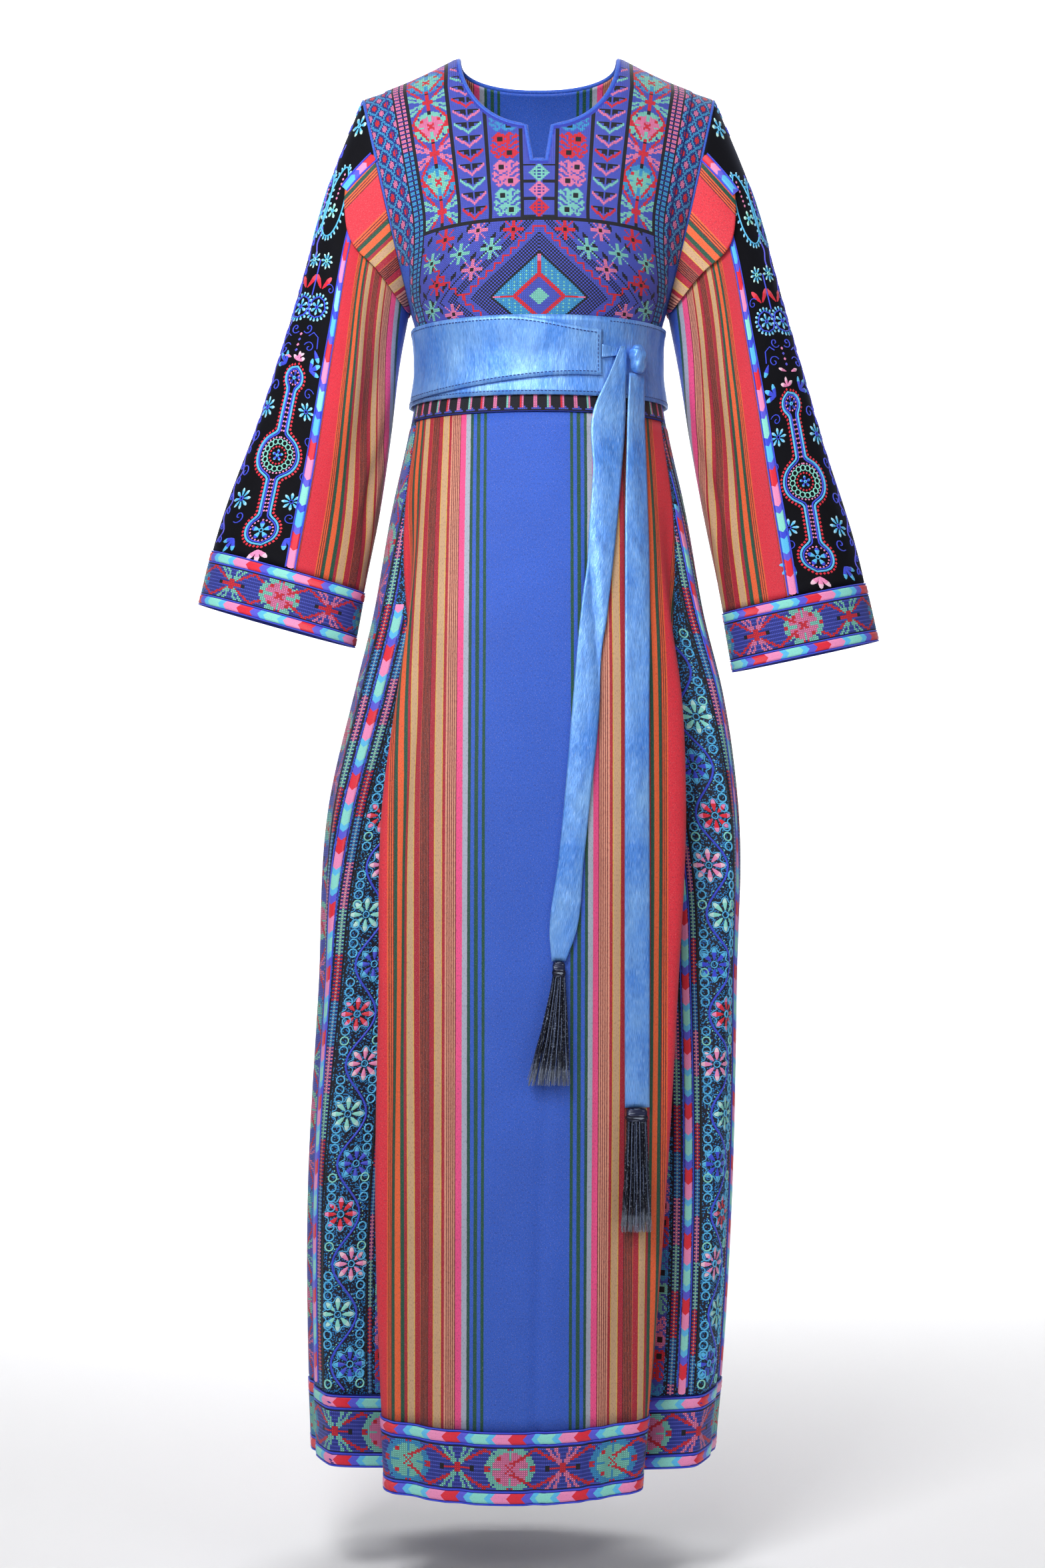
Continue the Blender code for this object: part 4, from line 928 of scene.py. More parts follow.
def girth_at(s, z, out=0.0):
    """Point on the girth; s past either end goes on round the back."""
    s, z = np.broadcast_arrays(np.asarray(s, float), np.asarray(z, float))
    low, high = np.interp(z, GIRTH_Z, girth.reach[:, 0]), np.interp(z, GIRTH_Z, girth.reach[:, 1])
    return girth.at(low + np.mod(s - low, high - low), z, out)


def girth_normals(s, z):
    """Outward normal of the skirt: the way to the same place a centimetre out."""
    return unit(girth_at(s, z, 0.01) - girth_at(s, z, 0.0))


def half_girth(side, z):
    """Length from the middle of the front round one side to the middle of the back."""
    return np.abs(np.interp(z, GIRTH_Z, girth.reach[:, 0 if side < 0 else 1]))


def hem_z(share):
    """Height of the hem at a share of the way round: it dips as the square of a cosine."""
    return HEM_SIDE_Z - HEM_DIP * np.cos(np.pi * share) ** 2


def middle_panel_place(f, z, back):
    """Signed s of a place in the front or the back panel, f from -1 at its left seam to 1 at its right."""
    s = f * (body("panel", z) - SEAM / 2)
    return s if not back else np.where(f < 0, -1, 1) * half_girth(1, z) - s + np.where(
        f < 0, half_girth(1, z) - half_girth(-1, z), 0)


# Share of a side panel's columns that lie before its front fold, and again behind its back fold.
FOLD_T = 0.105


def side_panel_place(f, z, side):
    """Length from the middle of the front of a place in a side panel, f from its front to its back seam."""
    total, panel = half_girth(side, z), body("panel", z)
    start, stop = panel + SEAM / 2, total - panel - SEAM / 2
    column = 0 if side < 0 else 1
    feet = [np.interp(z, GIRTH_Z, girth_feet[:, column, k]) for k in (0, 1)]
    near = (stop - start) * 0.06
    front, back = np.maximum(feet[0], start + near), np.minimum(feet[1], stop - near)
    low = start + (front - start) * f / FOLD_T
    middle = front + (back - front) * (f - FOLD_T) / (1 - 2 * FOLD_T)
    high = back + (stop - back) * (f - 1 + FOLD_T) / FOLD_T
    return side * np.where(f < FOLD_T, low, np.where(f > 1 - FOLD_T, high, middle))


def skirt_rows(share, count, top=WAIST_Z - SEAM, foot_lift=HEM_BAND + SEAM):
    """Heights down a panel whose columns lie at these shares of the half girth at the hem."""
    return top + (hem_z(share) + foot_lift - top) * np.linspace(0, 1, count)[:, None]


# Front and back: the stripes keep their widths all the way down, and hang plumb.
STRIPE_MIDDLE_X, STRIPE_SCALE = -0.0115, 1.07
f = np.linspace(-1, 1, 121)[None, :]
for word, back in (("front", False), ("back", True)):
    share = 1 - np.abs(f) * PANEL_HEM_SHARE if back else np.abs(f) * PANEL_HEM_SHARE
    z = skirt_rows(share, 76)
    s = middle_panel_place(f, z, back)
    points, normals = girth_at(s, z), girth_normals(s, z)
    across = STRIPE_SCALE * f * body("panel", z) + body("centre_x", z) - STRIPE_MIDDLE_X
    cloth = wall(f"skirt_{word}_cloth", points, normals, -CLOTH, 0.0, np.stack([across, z + 0 * f], -1))
    dress(cloth, striped_cloth, ["skirt_" + word])


def dark_ground():
    """Dark blue cloth closely seeded with short bright stitches, the ground of the side panels."""
    f = Finish("seeded_ground", Roughness=0.7)
    place, u, v = f.uv()
    seed = f.node("ShaderNodeTexVoronoi", None, Vector=place, Scale=560.0)
    spot = seed < 0.40
    bright = f.mix(f.noise(place, 60.0, 2.0), colour("#1C62C8"), colour("#2C9CC8"))
    base = f.mix(spot, colour("#040A24"), bright)
    return f.finish(base, seed * -1.0, depth=0.0004)


seeded_ground = dark_ground()

f = np.linspace(0, 1, 141)[None, :]
for word, side in (("left", -1), ("right", 1)):
    z = skirt_rows(PANEL_HEM_SHARE + (1 - 2 * PANEL_HEM_SHARE) * f, 76)
    s = side_panel_place(f, z, side)
    points, normals = girth_at(s, z), girth_normals(s, z)
    uv = np.stack([np.abs(s), z + 0 * f], -1)
    cloth = wall(f"skirt_side_{word}_cloth", points, normals, -CLOTH, 0.0, uv)
    dress(cloth, seeded_ground, ["skirt_side_" + word])


# ================================================================ side panels' embroidery
# Upright bands from the middle of each panel outward: rosettes, ladder, braid, ladder, flowers on a vine,
# ladder, braid, ladder, roses. The seams cut the outer bands off on the slant.

def threads_finish():
    """Glossy floss: fine slanting strands over the colour of each stitch."""
    f = Finish("floss", Roughness=0.42, Specular_IOR_Level=0.45, Sheen_Weight=0.15)
    thread, (place, u, v) = f.thread(), f.uv()
    strands = ((u + v) * 9000.0).sine()
    base = f.mix((f.noise(place, 900.0, 2.0) - 0.52) * 0.9, thread, colour("#0A0E2C"))
    return f.finish(base, strands, depth=0.00015, strength=0.5)


floss = threads_finish()


def straight(x, y):
    """The frame of a motif that is drawn where it lies."""
    return x, y


def line_of(x, y):
    """A path from x and y, either of which may be one number for the whole way."""
    return np.stack(np.broadcast_arrays(x, y), -1)


class Needlework:
    """Cords, satin-stitch petals and knots, drawn flat in metres and laid on a cloth all at once: x across,
    y along, h out of the cloth. The frame turns and moves the shapes that are added next."""

    def __init__(self):
        self.points, self.faces, self.tints, self.count = [], [], [], 0
        self.frame = straight

    def sheet(self, x, y, h, tint):
        """A grid of any shape; rows run along, columns across to the right. A tint, or one for each row."""
        x, y, h = np.broadcast_arrays(x, y, h)
        rows, cols = x.shape
        self.faces.append(quads(grid_index(x, self.count)).reshape(-1, 4))
        self.points.append(np.stack([*self.frame(x, y), h], -1).reshape(-1, 3))
        tint = np.asarray(tint, float)
        rows_of_tint = np.tile(tint, (rows - 1, 1)) if tint.ndim == 1 else tint[:rows - 1]
        self.tints.append(np.repeat(rows_of_tint, cols - 1, axis=0))
        self.count += rows * cols

    def cord(self, path, width, tint, height=0.0008, closed=False):
        """A round cord couched along a path of (x, y)."""
        path = np.asarray(path, float)
        if closed:
            path = np.concatenate([path, path[:1]])
            ahead = np.roll(path[:-1], -1, 0) - np.roll(path[:-1], 1, 0)
            ahead = unit(np.concatenate([ahead, ahead[:1]]))
        else:
            ahead = unit(np.gradient(path, axis=0))
        aside = np.stack([ahead[:, 1], -ahead[:, 0]], -1)
        offset = np.array([-0.5, -0.28, 0.28, 0.5]) * width
        h = np.array([-0.3, 1.0, 1.0, -0.3]) * height
        x, y = (path[:, c:c + 1] + aside[:, c:c + 1] * offset for c in (0, 1))
        self.sheet(x, y, h[None, :], tint)

    def petal(self, x, y, length, width, turn, tint, tip=None, height=0.0009):
        """A padded satin-stitch petal from (x, y) outward, widest past its middle; tip tints its end."""
        way = np.array([0.0, 0.28, 0.62, 0.88, 1.0])[:, None]
        half = np.array([0.10, 0.34, 0.50, 0.34, 0.06])[:, None] * width
        side = np.array([-1.0, 0.0, 1.0])
        along, across = way * length, half * side
        h = height * np.array([-0.2, 1.0, -0.2]) * np.array([0.5, 1, 1, 0.9, 0.3])[:, None]
        c, s = np.cos(turn), np.sin(turn)
        tints = np.array([tint, tint, tip if tip is not None else tint, tip if tip is not None else tint])
        self.sheet(x + along * s + across * c, y + along * c - across * s, h, tints)

    def bead(self, x, y, size, tint, height=0.0008):
        """A knot: a small square dome."""
        step = np.array([-0.5, 0.0, 0.5]) * size
        bend = np.array([[0.7, 1, 0.7], [1, 1, 1], [0.7, 1, 0.7]])
        h = height * np.array([[-0.3, -0.1, -0.3], [-0.1, 1, -0.1], [-0.3, -0.1, -0.3]])
        self.sheet(x + step[None, :] * bend, y + step[:, None] * bend, h, tint)

    def braid(self, path, width, plan, lean=0.9, height=0.0011):
        """Chevron braid: lengths of thread along a path, each row swept forward at the edges into a V."""
        path = np.asarray(path, float)
        length = run_along(path)
        ahead = unit(np.gradient(path, axis=0))
        reach, tints, place, k = [0.0], [], 0.0, 0
        while place < length[-1]:
            run, tint = plan[k % len(plan)]
            for part in np.linspace(0, 1, max(2, int(run / 0.006) + 1))[1:]:
                reach.append(place + run * part)
                tints.append(tint)
            place, k = place + run, k + 1
        side = np.array([-1.0, -0.82, -0.45, 0.0, 0.45, 0.82, 1.0])
        at = np.clip(np.array(reach)[:, None] + lean * width / 2 * (np.abs(side) - 0.5), 0, length[-1])
        x, y = (np.interp(at, length, path[:, c]) for c in (0, 1))
        dx, dy = (np.interp(at, length, ahead[:, c]) for c in (0, 1))
        h = height * np.array([-0.3, 0.75, 1.0, 0.78, 1.0, 0.75, -0.3])
        self.sheet(x + dy * side * width / 2, y - dx * side * width / 2, h[None, :], np.array(tints))

    def lay(self, name, place, nodes=(), slot="thread"):
        """Puts every shape on the cloth: place(x, y, out) gives points."""
        flat, faces = np.concatenate(self.points), np.concatenate(self.faces)
        points = place(flat[:, 0], flat[:, 1], flat[:, 2])
        above = place(flat[:, 0], flat[:, 1], flat[:, 2] + 0.001)
        corner = points[faces]
        face_way = np.cross(corner[:, 1] - corner[:, 0], corner[:, 3] - corner[:, 0])
        if np.sum(face_way * (above - points)[faces[:, 0]]) < 0:
            faces = faces[:, ::-1]
        piece = add_mesh(name, points, faces, flat[:, :2], np.concatenate(self.tints))
        dress(piece, floss, nodes)
        return piece


VIOLET, LIGHT_BLUE, DEEP_BLUE = colour("#5C5AE0"), colour("#5CC4F6"), colour("#1B2FA8")
FLOSS_PINK, FLOSS_RED, FLOSS_MINT = colour("#F792C4"), colour("#E8223A"), colour("#8FE4D6")
PALE_PINK, PALE_BLUE, PALE_MINT = colour("#FBD0E2"), colour("#A6E2FB"), colour("#C4F2EA")
CORD_BLUE, BLACK = colour("#3A4BE0"), colour("#05060F")
BRAID_PLAN = (
    (0.015, FLOSS_PINK), (0.014, FLOSS_RED), (0.008, VIOLET), (0.006, LIGHT_BLUE), (0.014, FLOSS_MINT),
    (0.006, LIGHT_BLUE),
)


def circle(x, y, radius, count=16, lobes=0, swell=0.0):
    """Closed path round a circle, with an even number of lobes where asked."""
    t = np.linspace(0, 2 * np.pi, count, endpoint=False)
    r = radius * (1 + swell * np.cos(lobes * t))
    return line_of(x + r * np.sin(t), y + r * np.cos(t))


def daisy(work, x, y, size, petals, tint, tip, outline=None, heart=LIGHT_BLUE, turn=0.0):
    """A ring of petals round a looped heart, each petal shaded toward its tip."""
    for k in range(petals):
        a = turn + 2 * np.pi * k / petals
        work.petal(x + 0.13 * size * np.sin(a), y + 0.13 * size * np.cos(a), 0.36 * size,
                   1.05 * size / petals * 1.35, a, tint, tip)
    if outline is not None:
        t = np.linspace(0, 2 * np.pi, petals * 5, endpoint=False)
        r = size * (0.445 + 0.075 * np.cos(petals * (t - turn)))
        work.cord(line_of(x + r * np.sin(t), y + r * np.cos(t)), 0.0011, outline, 0.0007, closed=True)
    work.cord(circle(x, y, 0.095 * size, 8), 0.0012, heart, 0.0011, closed=True)


BAND_STITCH = 0.0018
GORE_FOOT_Z = HEM_SIDE_Z + HEM_BAND + 0.002
GORE_TOP_Z = WAIST_Z - 0.003
GORE_TRIM = 0.0012


def gore_half(side, z):
    """Half width of a side panel at height z."""
    return half_girth(side, z) / 2 - body("panel", z)


def gore_foot(side, e):
    """Height of the hem band's upper edge across a side panel."""
    across = 0.5 + 0.5 * np.asarray(e) / gore_half(side, GORE_FOOT_Z)
    share = PANEL_HEM_SHARE + (1 - 2 * PANEL_HEM_SHARE) * across
    return hem_z(np.clip(share, 0, 1)) + HEM_BAND + 0.0006


def gore_place(side):
    """Place function of a side panel: e is the length from its middle line."""
    def place(e, z, out):
        return girth_at(side * (half_girth(side, z) / 2 + e), z, out)
    return place


def in_gore(side, e, z, margin=GORE_TRIM):
    """Whether a place lies in the side panel, a margin inside its edges."""
    return (np.abs(e) < gore_half(side, z) - margin) & (z > gore_foot(side, e) + margin) & (z < GORE_TOP_Z)


def band_stitches(name, side, low, high, cells):
    """A stitched band between two places across a side panel, cut off where the panel ends."""
    rows, cols = cells.shape[:2]
    lane = gore_place(side)

    def place(col, row, out):
        return lane(low + (high - low) * col / cols, GORE_TOP_Z - row * BAND_STITCH, out)

    row, col = np.mgrid[0:rows, 0:cols] + 0.5
    keep = in_gore(side, low + (high - low) * col / cols, GORE_TOP_Z - row * BAND_STITCH)
    return stitched(name, place, cells, keep, 0.0006)


LADDER_TINTS = (FLOSS_RED, SKY, ROSE_PINK, MINT)


def ladder_cells(rows, shift):
    """Teeth from a pale spine to the dark edges; the thread changes every few centimetres."""
    cells = np.tile(THREADS["ink"], (rows, 5, 1))
    for k in range(rows):
        tint = LADDER_TINTS[((k + shift) // 25) % 4]
        cells[k, 1] = cells[k, 3] = tint if k % 2 else NAVY
        cells[k, 2] = 0.45 * tint + 0.35 if k % 2 else tint
    return cells


ROSETTE_THREADS = (("sky", "mint"), ("mint", "pink"))


def rosette_band(rows, cols):
    """Rosettes and bows in turn along an upright band."""
    chart = Chart(rows, cols)
    for k in range(-1, rows // 26 + 2):
        i, j = chart.i - (cols - 1) / 2, chart.j - 26 * k - 13
        if k % 2:
            bow(chart, i, j, ("mint", "pink")[k // 2 % 2], size=cols * 0.47, upright=True)
        else:
            rosette(chart, i, j, *ROSETTE_THREADS[k // 2 % 2], size=cols * 0.5)
    return chart.cells


gore_rows = int((GORE_TOP_Z - GORE_FOOT_Z + 0.012) / BAND_STITCH)
# Lanes across a side panel: distances of each band's edges from the panel's middle. The front half of the
# right panel is cut nearer the vine: it has no rosettes, and a second braid between ladders near its seam.
SPINE_LANE = 0.0055
ROSETTE_LANE = (0.0070, 0.0490)
LADDER_LANES = ((0.0500, 0.0615), (0.0740, 0.0865), (0.1325, 0.1395))
BRAID_LANE = (0.0625, 0.0730)
VINE_LANE = (0.0880, 0.1315)
ROSE_LANE = (0.1410, 0.1630)
RIGHT_SHIFT = -0.023
RIGHT_LADDER_LANES = LADDER_LANES[:2] + ((0.1320, 0.1400), (0.1505, 0.1620))
RIGHT_BRAID_LANE = (0.1405, 0.1495)
RIGHT_ROSE_LANES = ((0.0300, 0.0490), (0.1635, 0.1850))


def rose_band(rows, cols):
    """Cells of a narrow band: one rose above another, every second one mirrored."""
    chart = Chart(rows, cols)
    for k in range(rows // 18 + 1):
        thread = ("red", "sky", "mint", "pink")[k % 4]
        chart.draw(ROSE, -2, 18 * k + 1, {"A": thread, "o": "ink"}, mirror=k % 2 == 1)
    return chart.cells


VINE_PITCH, VINE_SWAY = 0.0485, 0.0125
DAISY = 0.0335
DAISY_TINTS = (
    (FLOSS_PINK, PALE_PINK), (FLOSS_RED, FLOSS_PINK), (CORD_BLUE, LIGHT_BLUE), (FLOSS_MINT, PALE_MINT),
)
LOOP_STEP, LOOP_IN = 0.0095, 0.0056


def vine(work, lane_low, lane_high, z_top, inside, sign):
    """A wavy stem with a daisy in each bay, knots beside the stem, and a row of loops along each edge."""
    middle, half = (lane_low + lane_high) / 2, (lane_high - lane_low) / 2
    y = np.arange(GORE_FOOT_Z - 0.010, z_top, 0.004)
    wave = np.cos(np.pi * (GORE_TOP_Z - y) / VINE_PITCH)
    path = line_of(middle + sign * VINE_SWAY * wave, y)
    hold = inside(path[:, 0], path[:, 1])
    if hold.sum() > 3:
        work.cord(path[hold], 0.0022, CORD_BLUE)
    for x0, y0 in zip(middle + sign * (VINE_SWAY * wave + 0.0034 * np.sign(wave)), y):
        if inside(x0, y0):
            work.bead(x0, y0, 0.0017, FLOSS_MINT, 0.0007)
    for k in range(int((GORE_TOP_Z - GORE_FOOT_Z) / VINE_PITCH) + 1):
        y0 = GORE_TOP_Z - VINE_PITCH * (k + 1)
        x0 = middle + sign * 0.0062 * (1 if k % 2 == 0 else -1)
        if y0 < z_top and inside(x0 + 0.012 * np.sign(x0), y0) and inside(x0, y0 - 0.013):
            daisy(work, x0, y0, DAISY, 8, *DAISY_TINTS[(k * 3 + (sign > 0)) % 4], outline=LIGHT_BLUE)
    for edge in (-1, 1):
        for k in range(int((GORE_TOP_Z - GORE_FOOT_Z) / LOOP_STEP)):
            y0 = GORE_TOP_Z - LOOP_STEP * (k + 1)
            x0 = middle + edge * (half - LOOP_IN)
            near = sign * edge * np.cos(np.pi * (GORE_TOP_Z - y0) / VINE_PITCH)
            if -0.92 < near < 0.80 and y0 < z_top and inside(x0 + 0.004 * np.sign(x0), y0):
                tint = LIGHT_BLUE if k % 7 else FLOSS_MINT
                work.cord(circle(x0, y0, 0.0041, 10), 0.0016, tint, 0.0010, closed=True)


for word, side in (("left", -1), ("right", 1)):
    def inside(e, z):
        """Whether a cord may lie here, two millimetres inside the panel's edges."""
        return in_gore(side, e, z, 0.002)

    held = [band_stitches(f"gore_{word}_spine", side, -SPINE_LANE, SPINE_LANE, ladder_cells(gore_rows, 12))]
    work = Needlework()
    z_line = np.linspace(GORE_FOOT_Z - 0.010, GORE_TOP_Z, 260)
    for sign in (-1, 1):
        hand = "front" if sign < 0 else "back"
        near_vine = word == "right" and hand == "front"
        shift = RIGHT_SHIFT if near_vine else 0.0
        ladders, braided = (RIGHT_LADDER_LANES, (BRAID_LANE, RIGHT_BRAID_LANE)) if near_vine else (
            LADDER_LANES, (BRAID_LANE,))
        for k, (low, high) in enumerate(ladders):
            held.append(band_stitches(f"gore_{word}_ladder_{hand}_{k}", side, sign * (low + shift),
                                      sign * (high + shift), ladder_cells(gore_rows, 9 * k)))
        if not near_vine:
            held.append(band_stitches(f"gore_{word}_rosettes_{hand}", side, sign * ROSETTE_LANE[0],
                                      sign * ROSETTE_LANE[1], rosette_band(gore_rows, 23)))
        for k, (low, high) in enumerate(RIGHT_ROSE_LANES if near_vine else (ROSE_LANE,)):
            held.append(band_stitches(f"gore_{word}_roses_{hand}_{k}", side, sign * (low + shift),
                                      sign * (high + shift), rose_band(gore_rows, 12)))
        for low, high in braided:
            path = line_of(sign * ((low + high) / 2 + shift), z_line)
            path = path[inside(sign * (high + shift - 0.001) + 0 * z_line, z_line)]
            work.braid(path, high - low - 0.0012, BRAID_PLAN)
        vine(work, *sorted(sign * (x + shift) for x in VINE_LANE), GORE_TOP_Z, inside, sign)
        edges = [(SPINE_LANE + 0.0006 - shift, BLACK), (0.0495, BLACK), (0.0873, BLACK), (0.1320, BLACK)]
        edges += [(lane[0] - 0.0004, CORD_BLUE) for lane in braided]
        edges += [(lane[1] + 0.0004, CORD_BLUE) for lane in braided]
        for x0, tint in edges:
            path = line_of(sign * (x0 + shift), z_line)[::3]
            hold = inside(path[:, 0], path[:, 1])
            if hold.sum() > 3:
                work.cord(path[hold], 0.0014, tint, 0.0009)
    held.append(work.lay(f"gore_{word}_cords", gore_place(side)))


# ================================================================ hem band
# A broad band of cross-stitch on blue canvas between two chevron braids, sewn on all round the foot of the
# dress. Rosettes and bows take turns along it.

HEM_STITCH = 0.00183
HEM_ROWS = 23
HEM_BRAID, HEM_BRAID_IN = 0.012, 0.0068


def hem_share(s):
    """Share of the half girth at a signed length from the middle of the front, read at the hem."""
    total = np.where(s < 0, half_girth(-1, HEM_SIDE_Z), half_girth(1, HEM_SIDE_Z))
    panel = body("panel", HEM_SIDE_Z)
    a = np.abs(s)
    side = PANEL_HEM_SHARE + (1 - 2 * PANEL_HEM_SHARE) * (a - panel) / (total - 2 * panel)
    return np.where(a < panel, a / panel * PANEL_HEM_SHARE,
                    np.where(a > total - panel, 1 - (total - a) / panel * PANEL_HEM_SHARE, side))


HEM_LEFT, HEM_RIGHT = -half_girth(-1, HEM_SIDE_Z), half_girth(1, HEM_SIDE_Z)


def hem_place(s, up, out):
    """Place on the hem band: s round the hem, up from its lower edge."""
    s, up = np.broadcast_arrays(np.asarray(s, float), np.asarray(up, float))
    around = HEM_LEFT + np.mod(s - HEM_LEFT, HEM_RIGHT - HEM_LEFT)
    z = hem_z(hem_share(around)) + up
    stretch = np.where(around < 0, half_girth(-1, z) / -HEM_LEFT, half_girth(1, z) / HEM_RIGHT)
    return girth_at(around * stretch, z, out)


hem_s = np.linspace(HEM_LEFT, HEM_RIGHT, 721)[:-1]
up = np.linspace(0.0, HEM_BAND, 9)[:, None]
points = hem_place(hem_s[None, :], up, 0.0)
normals = unit(hem_place(hem_s[None, :], up, 0.01) - points)
hem_cloth = wall("hem_band_ground", points, normals, -CLOTH, 0.0006,
                 np.stack(np.broadcast_arrays(hem_s[None, :], up), -1), ring=True)
dress(hem_cloth, blue_canvas, ["hem_band"])

hem_cols = int((HEM_RIGHT - HEM_LEFT) / HEM_STITCH / 52) * 52


def border_chart(rows, cols):
    """Rosettes and bows in turn along a border, joined by red zigzags, on a striped blue ground."""
    chart = Chart(rows, cols)
    chart.paint(chart.j % 2 == 0, "gap")
    middle = (rows - 1) / 2
    for k in range(cols // 26 + 1):
        i = chart.i - 26 * k
        if k % 2:
            bow(chart, i, chart.j - middle, ("mint", "pink")[k // 2 % 2], size=rows * 0.46)
        else:
            rosette(chart, i, chart.j - middle, *ROSETTE_THREADS[k // 2 % 2], size=rows * 0.53)
    for row in (0, rows - 1):
        chart.paint(chart.j == row, "ink")
    return chart.cells


hem_cells = border_chart(HEM_ROWS, hem_cols)
stitch_foot = (HEM_BAND - HEM_ROWS * HEM_STITCH) / 2


def hem_stitch_place(col, row, out):
    """Place of a stitch of the hem, counted along it and up from its foot."""
    return hem_place(HEM_LEFT + (HEM_RIGHT - HEM_LEFT) * col / hem_cols, stitch_foot + row * HEM_STITCH,
                     0.0006 + out)


keep = np.ones(hem_cells.shape[:2], bool)
hem_stitches = stitched("hem_band_stitches", hem_stitch_place, hem_cells, keep, 0.0005)
work = Needlework()
line = np.linspace(HEM_LEFT, HEM_RIGHT, 900)
for middle in (HEM_BRAID_IN, HEM_BAND - HEM_BRAID_IN):
    work.braid(line_of(line, middle), HEM_BRAID - 0.002, BRAID_PLAN)
    for edge in (-1, 1):
        work.cord(line_of(line, middle + edge * HEM_BRAID / 2)[::2], 0.0016, CORD_BLUE)
hem_braids = work.lay("hem_band_braids", lambda x, y, out: hem_place(x, y, out + 0.0006), slot="braid")


# ================================================================ sleeves
# Each sleeve is cut from two cloths: black velvet along the outer arm, and striped cloth inside, with a
# chevron braid over both seams and a deep embroidered cuff.

SLEEVE_CLOTH = 0.0021
SLEEVE_COLUMNS = ("t", "outer_x", "outer_z", "inner_x", "inner_z", "half_depth", "centre_y", "velvet_deg")
SLEEVE_ROWS = np.array([
    (0.00, 0.1760, -0.0400, 0.1290, -0.2520, 0.0550, 0.000, 66.0),
    (0.16, 0.2060, -0.1190, 0.1390, -0.3030, 0.0570, -0.001, 70.0),
    (0.38, 0.2370, -0.2330, 0.1480, -0.3780, 0.0560, -0.004, 77.0),
    (0.62, 0.2795, -0.3600, 0.1590, -0.4550, 0.0530, -0.009, 87.0),
    (0.87, 0.3257, -0.4926, 0.1745, -0.5348, 0.0480, -0.014, 94.0),
    (1.00, 0.3390, -0.5470, 0.1845, -0.5900, 0.0470, -0.016, 95.0),
])
CUFF_T = 0.87
# Folds across the arm. The first three shape the sleeve; the others are small creases of the cloth.
SLEEVE_FOLD_COLUMNS = ("degrees_top", "degrees_cuff", "half_degrees", "depth", "t_from", "t_to")
SLEEVE_FOLD_ROWS = (
    (140.0, 118.0, 26.0, 0.009, 0.02, 0.80), (222.0, 244.0, 26.0, 0.009, 0.02, 0.80),
    (-20.0, 20.0, 30.0, 0.003, 0.30, 0.80),
    (100.0, 150.0, 13.0, 0.0042, 0.05, 0.46), (170.0, 138.0, 12.0, 0.0036, 0.22, 0.85),
    (196.0, 206.0, 11.0, 0.0034, 0.10, 0.62), (262.0, 218.0, 14.0, 0.0040, 0.08, 0.55),
    (124.0, 166.0, 9.0, 0.0028, 0.40, 0.84), (40.0, 52.0, 16.0, 0.0016, 0.20, 0.60),
)
# For each sleeve: side, how much longer it hangs, shift of its inner edge, and bow of its outer edge.
SLEEVE_SIDES = {"left": (-1, 1.000, 0.000, 0.004), "right": (1, 1.072, 0.010, 0.010)}


def sleeve(name, t):
    """One measure of the sleeve at t, 0 at the armhole and 1 at its foot."""
    return smooth_curve(t, SLEEVE_ROWS[:, 0], SLEEVE_ROWS[:, SLEEVE_COLUMNS.index(name)])


def sleeve_point(degrees, t, word):
    """0 degrees is the outer edge, 90 the front, 180 the inner edge."""
    side, drop, shift, bow = SLEEVE_SIDES[word]
    degrees, t = np.broadcast_arrays(np.asarray(degrees, float), np.asarray(t, float))
    away = 0.0007 * (1 - np.minimum(t / 0.16, 1))
    outer = (sleeve("outer_x", t) + away + bow * np.sin(np.pi * np.minimum(t / CUFF_T, 1)),
             ARM_TOP[1] + (sleeve("outer_z", t) - ARM_TOP[1]) * drop)
    inner = (sleeve("inner_x", t) + away + shift * smooth_step(t / 0.8),
             ARM_FOOT[1] + (sleeve("inner_z", t) - ARM_FOOT[1]) * drop)
    deep, push = sleeve("half_depth", t), 0.0
    for row in SLEEVE_FOLD_ROWS:
        fold = dict(zip(SLEEVE_FOLD_COLUMNS, row))
        half_run = (fold["t_to"] - fold["t_from"]) / 2
        foot = fold["degrees_top"] + (fold["degrees_cuff"] - fold["degrees_top"]) * t
        turn = (degrees - foot + 180) % 360 - 180
        push = push + fold["depth"] * bell((t - fold["t_from"] - half_run) / half_run) * bell(
            turn / fold["half_degrees"])
    shrink = 1 - push / (deep * 1.2)
    c, s = np.cos(np.radians(degrees)) * shrink, np.sin(np.radians(degrees)) * shrink
    x = (outer[0] + inner[0]) / 2 + (outer[0] - inner[0]) / 2 * c
    z = (outer[1] + inner[1]) / 2 + (outer[1] - inner[1]) / 2 * c
    return np.stack([side * x, sleeve("centre_y", t) - deep * s, z], -1)


def sleeve_normal(degrees, t, word):
    """Square to the cloth, but kept in the plane of the armhole near the top, where the sleeve is set in."""
    side = SLEEVE_SIDES[word][0]
    around = sleeve_point(degrees + 1, t, word) - sleeve_point(degrees - 1, t, word)
    below, above = np.minimum(t + 0.01, 1), np.maximum(t - 0.01, 0)
    along = sleeve_point(degrees, below, word) - sleeve_point(degrees, above, word)
    true = unit(np.cross(around, along)) * side
    arm = unit(sleeve_point(0, t, word) - sleeve_point(180, t, word)) * (1, 0, 1)
    flat = unit(np.cross(around, unit(np.cross(unit(arm), np.array([0.0, 1.0, 0.0])))))
    flat = flat * np.where(np.sum(flat * true, -1, keepdims=True) < 0, -1, 1)
    keep = np.minimum(t / 0.1 + (1 - np.cos(np.radians(degrees))) / 2, 1.0)[..., None]
    return unit(flat * (1 - keep) + true * keep)


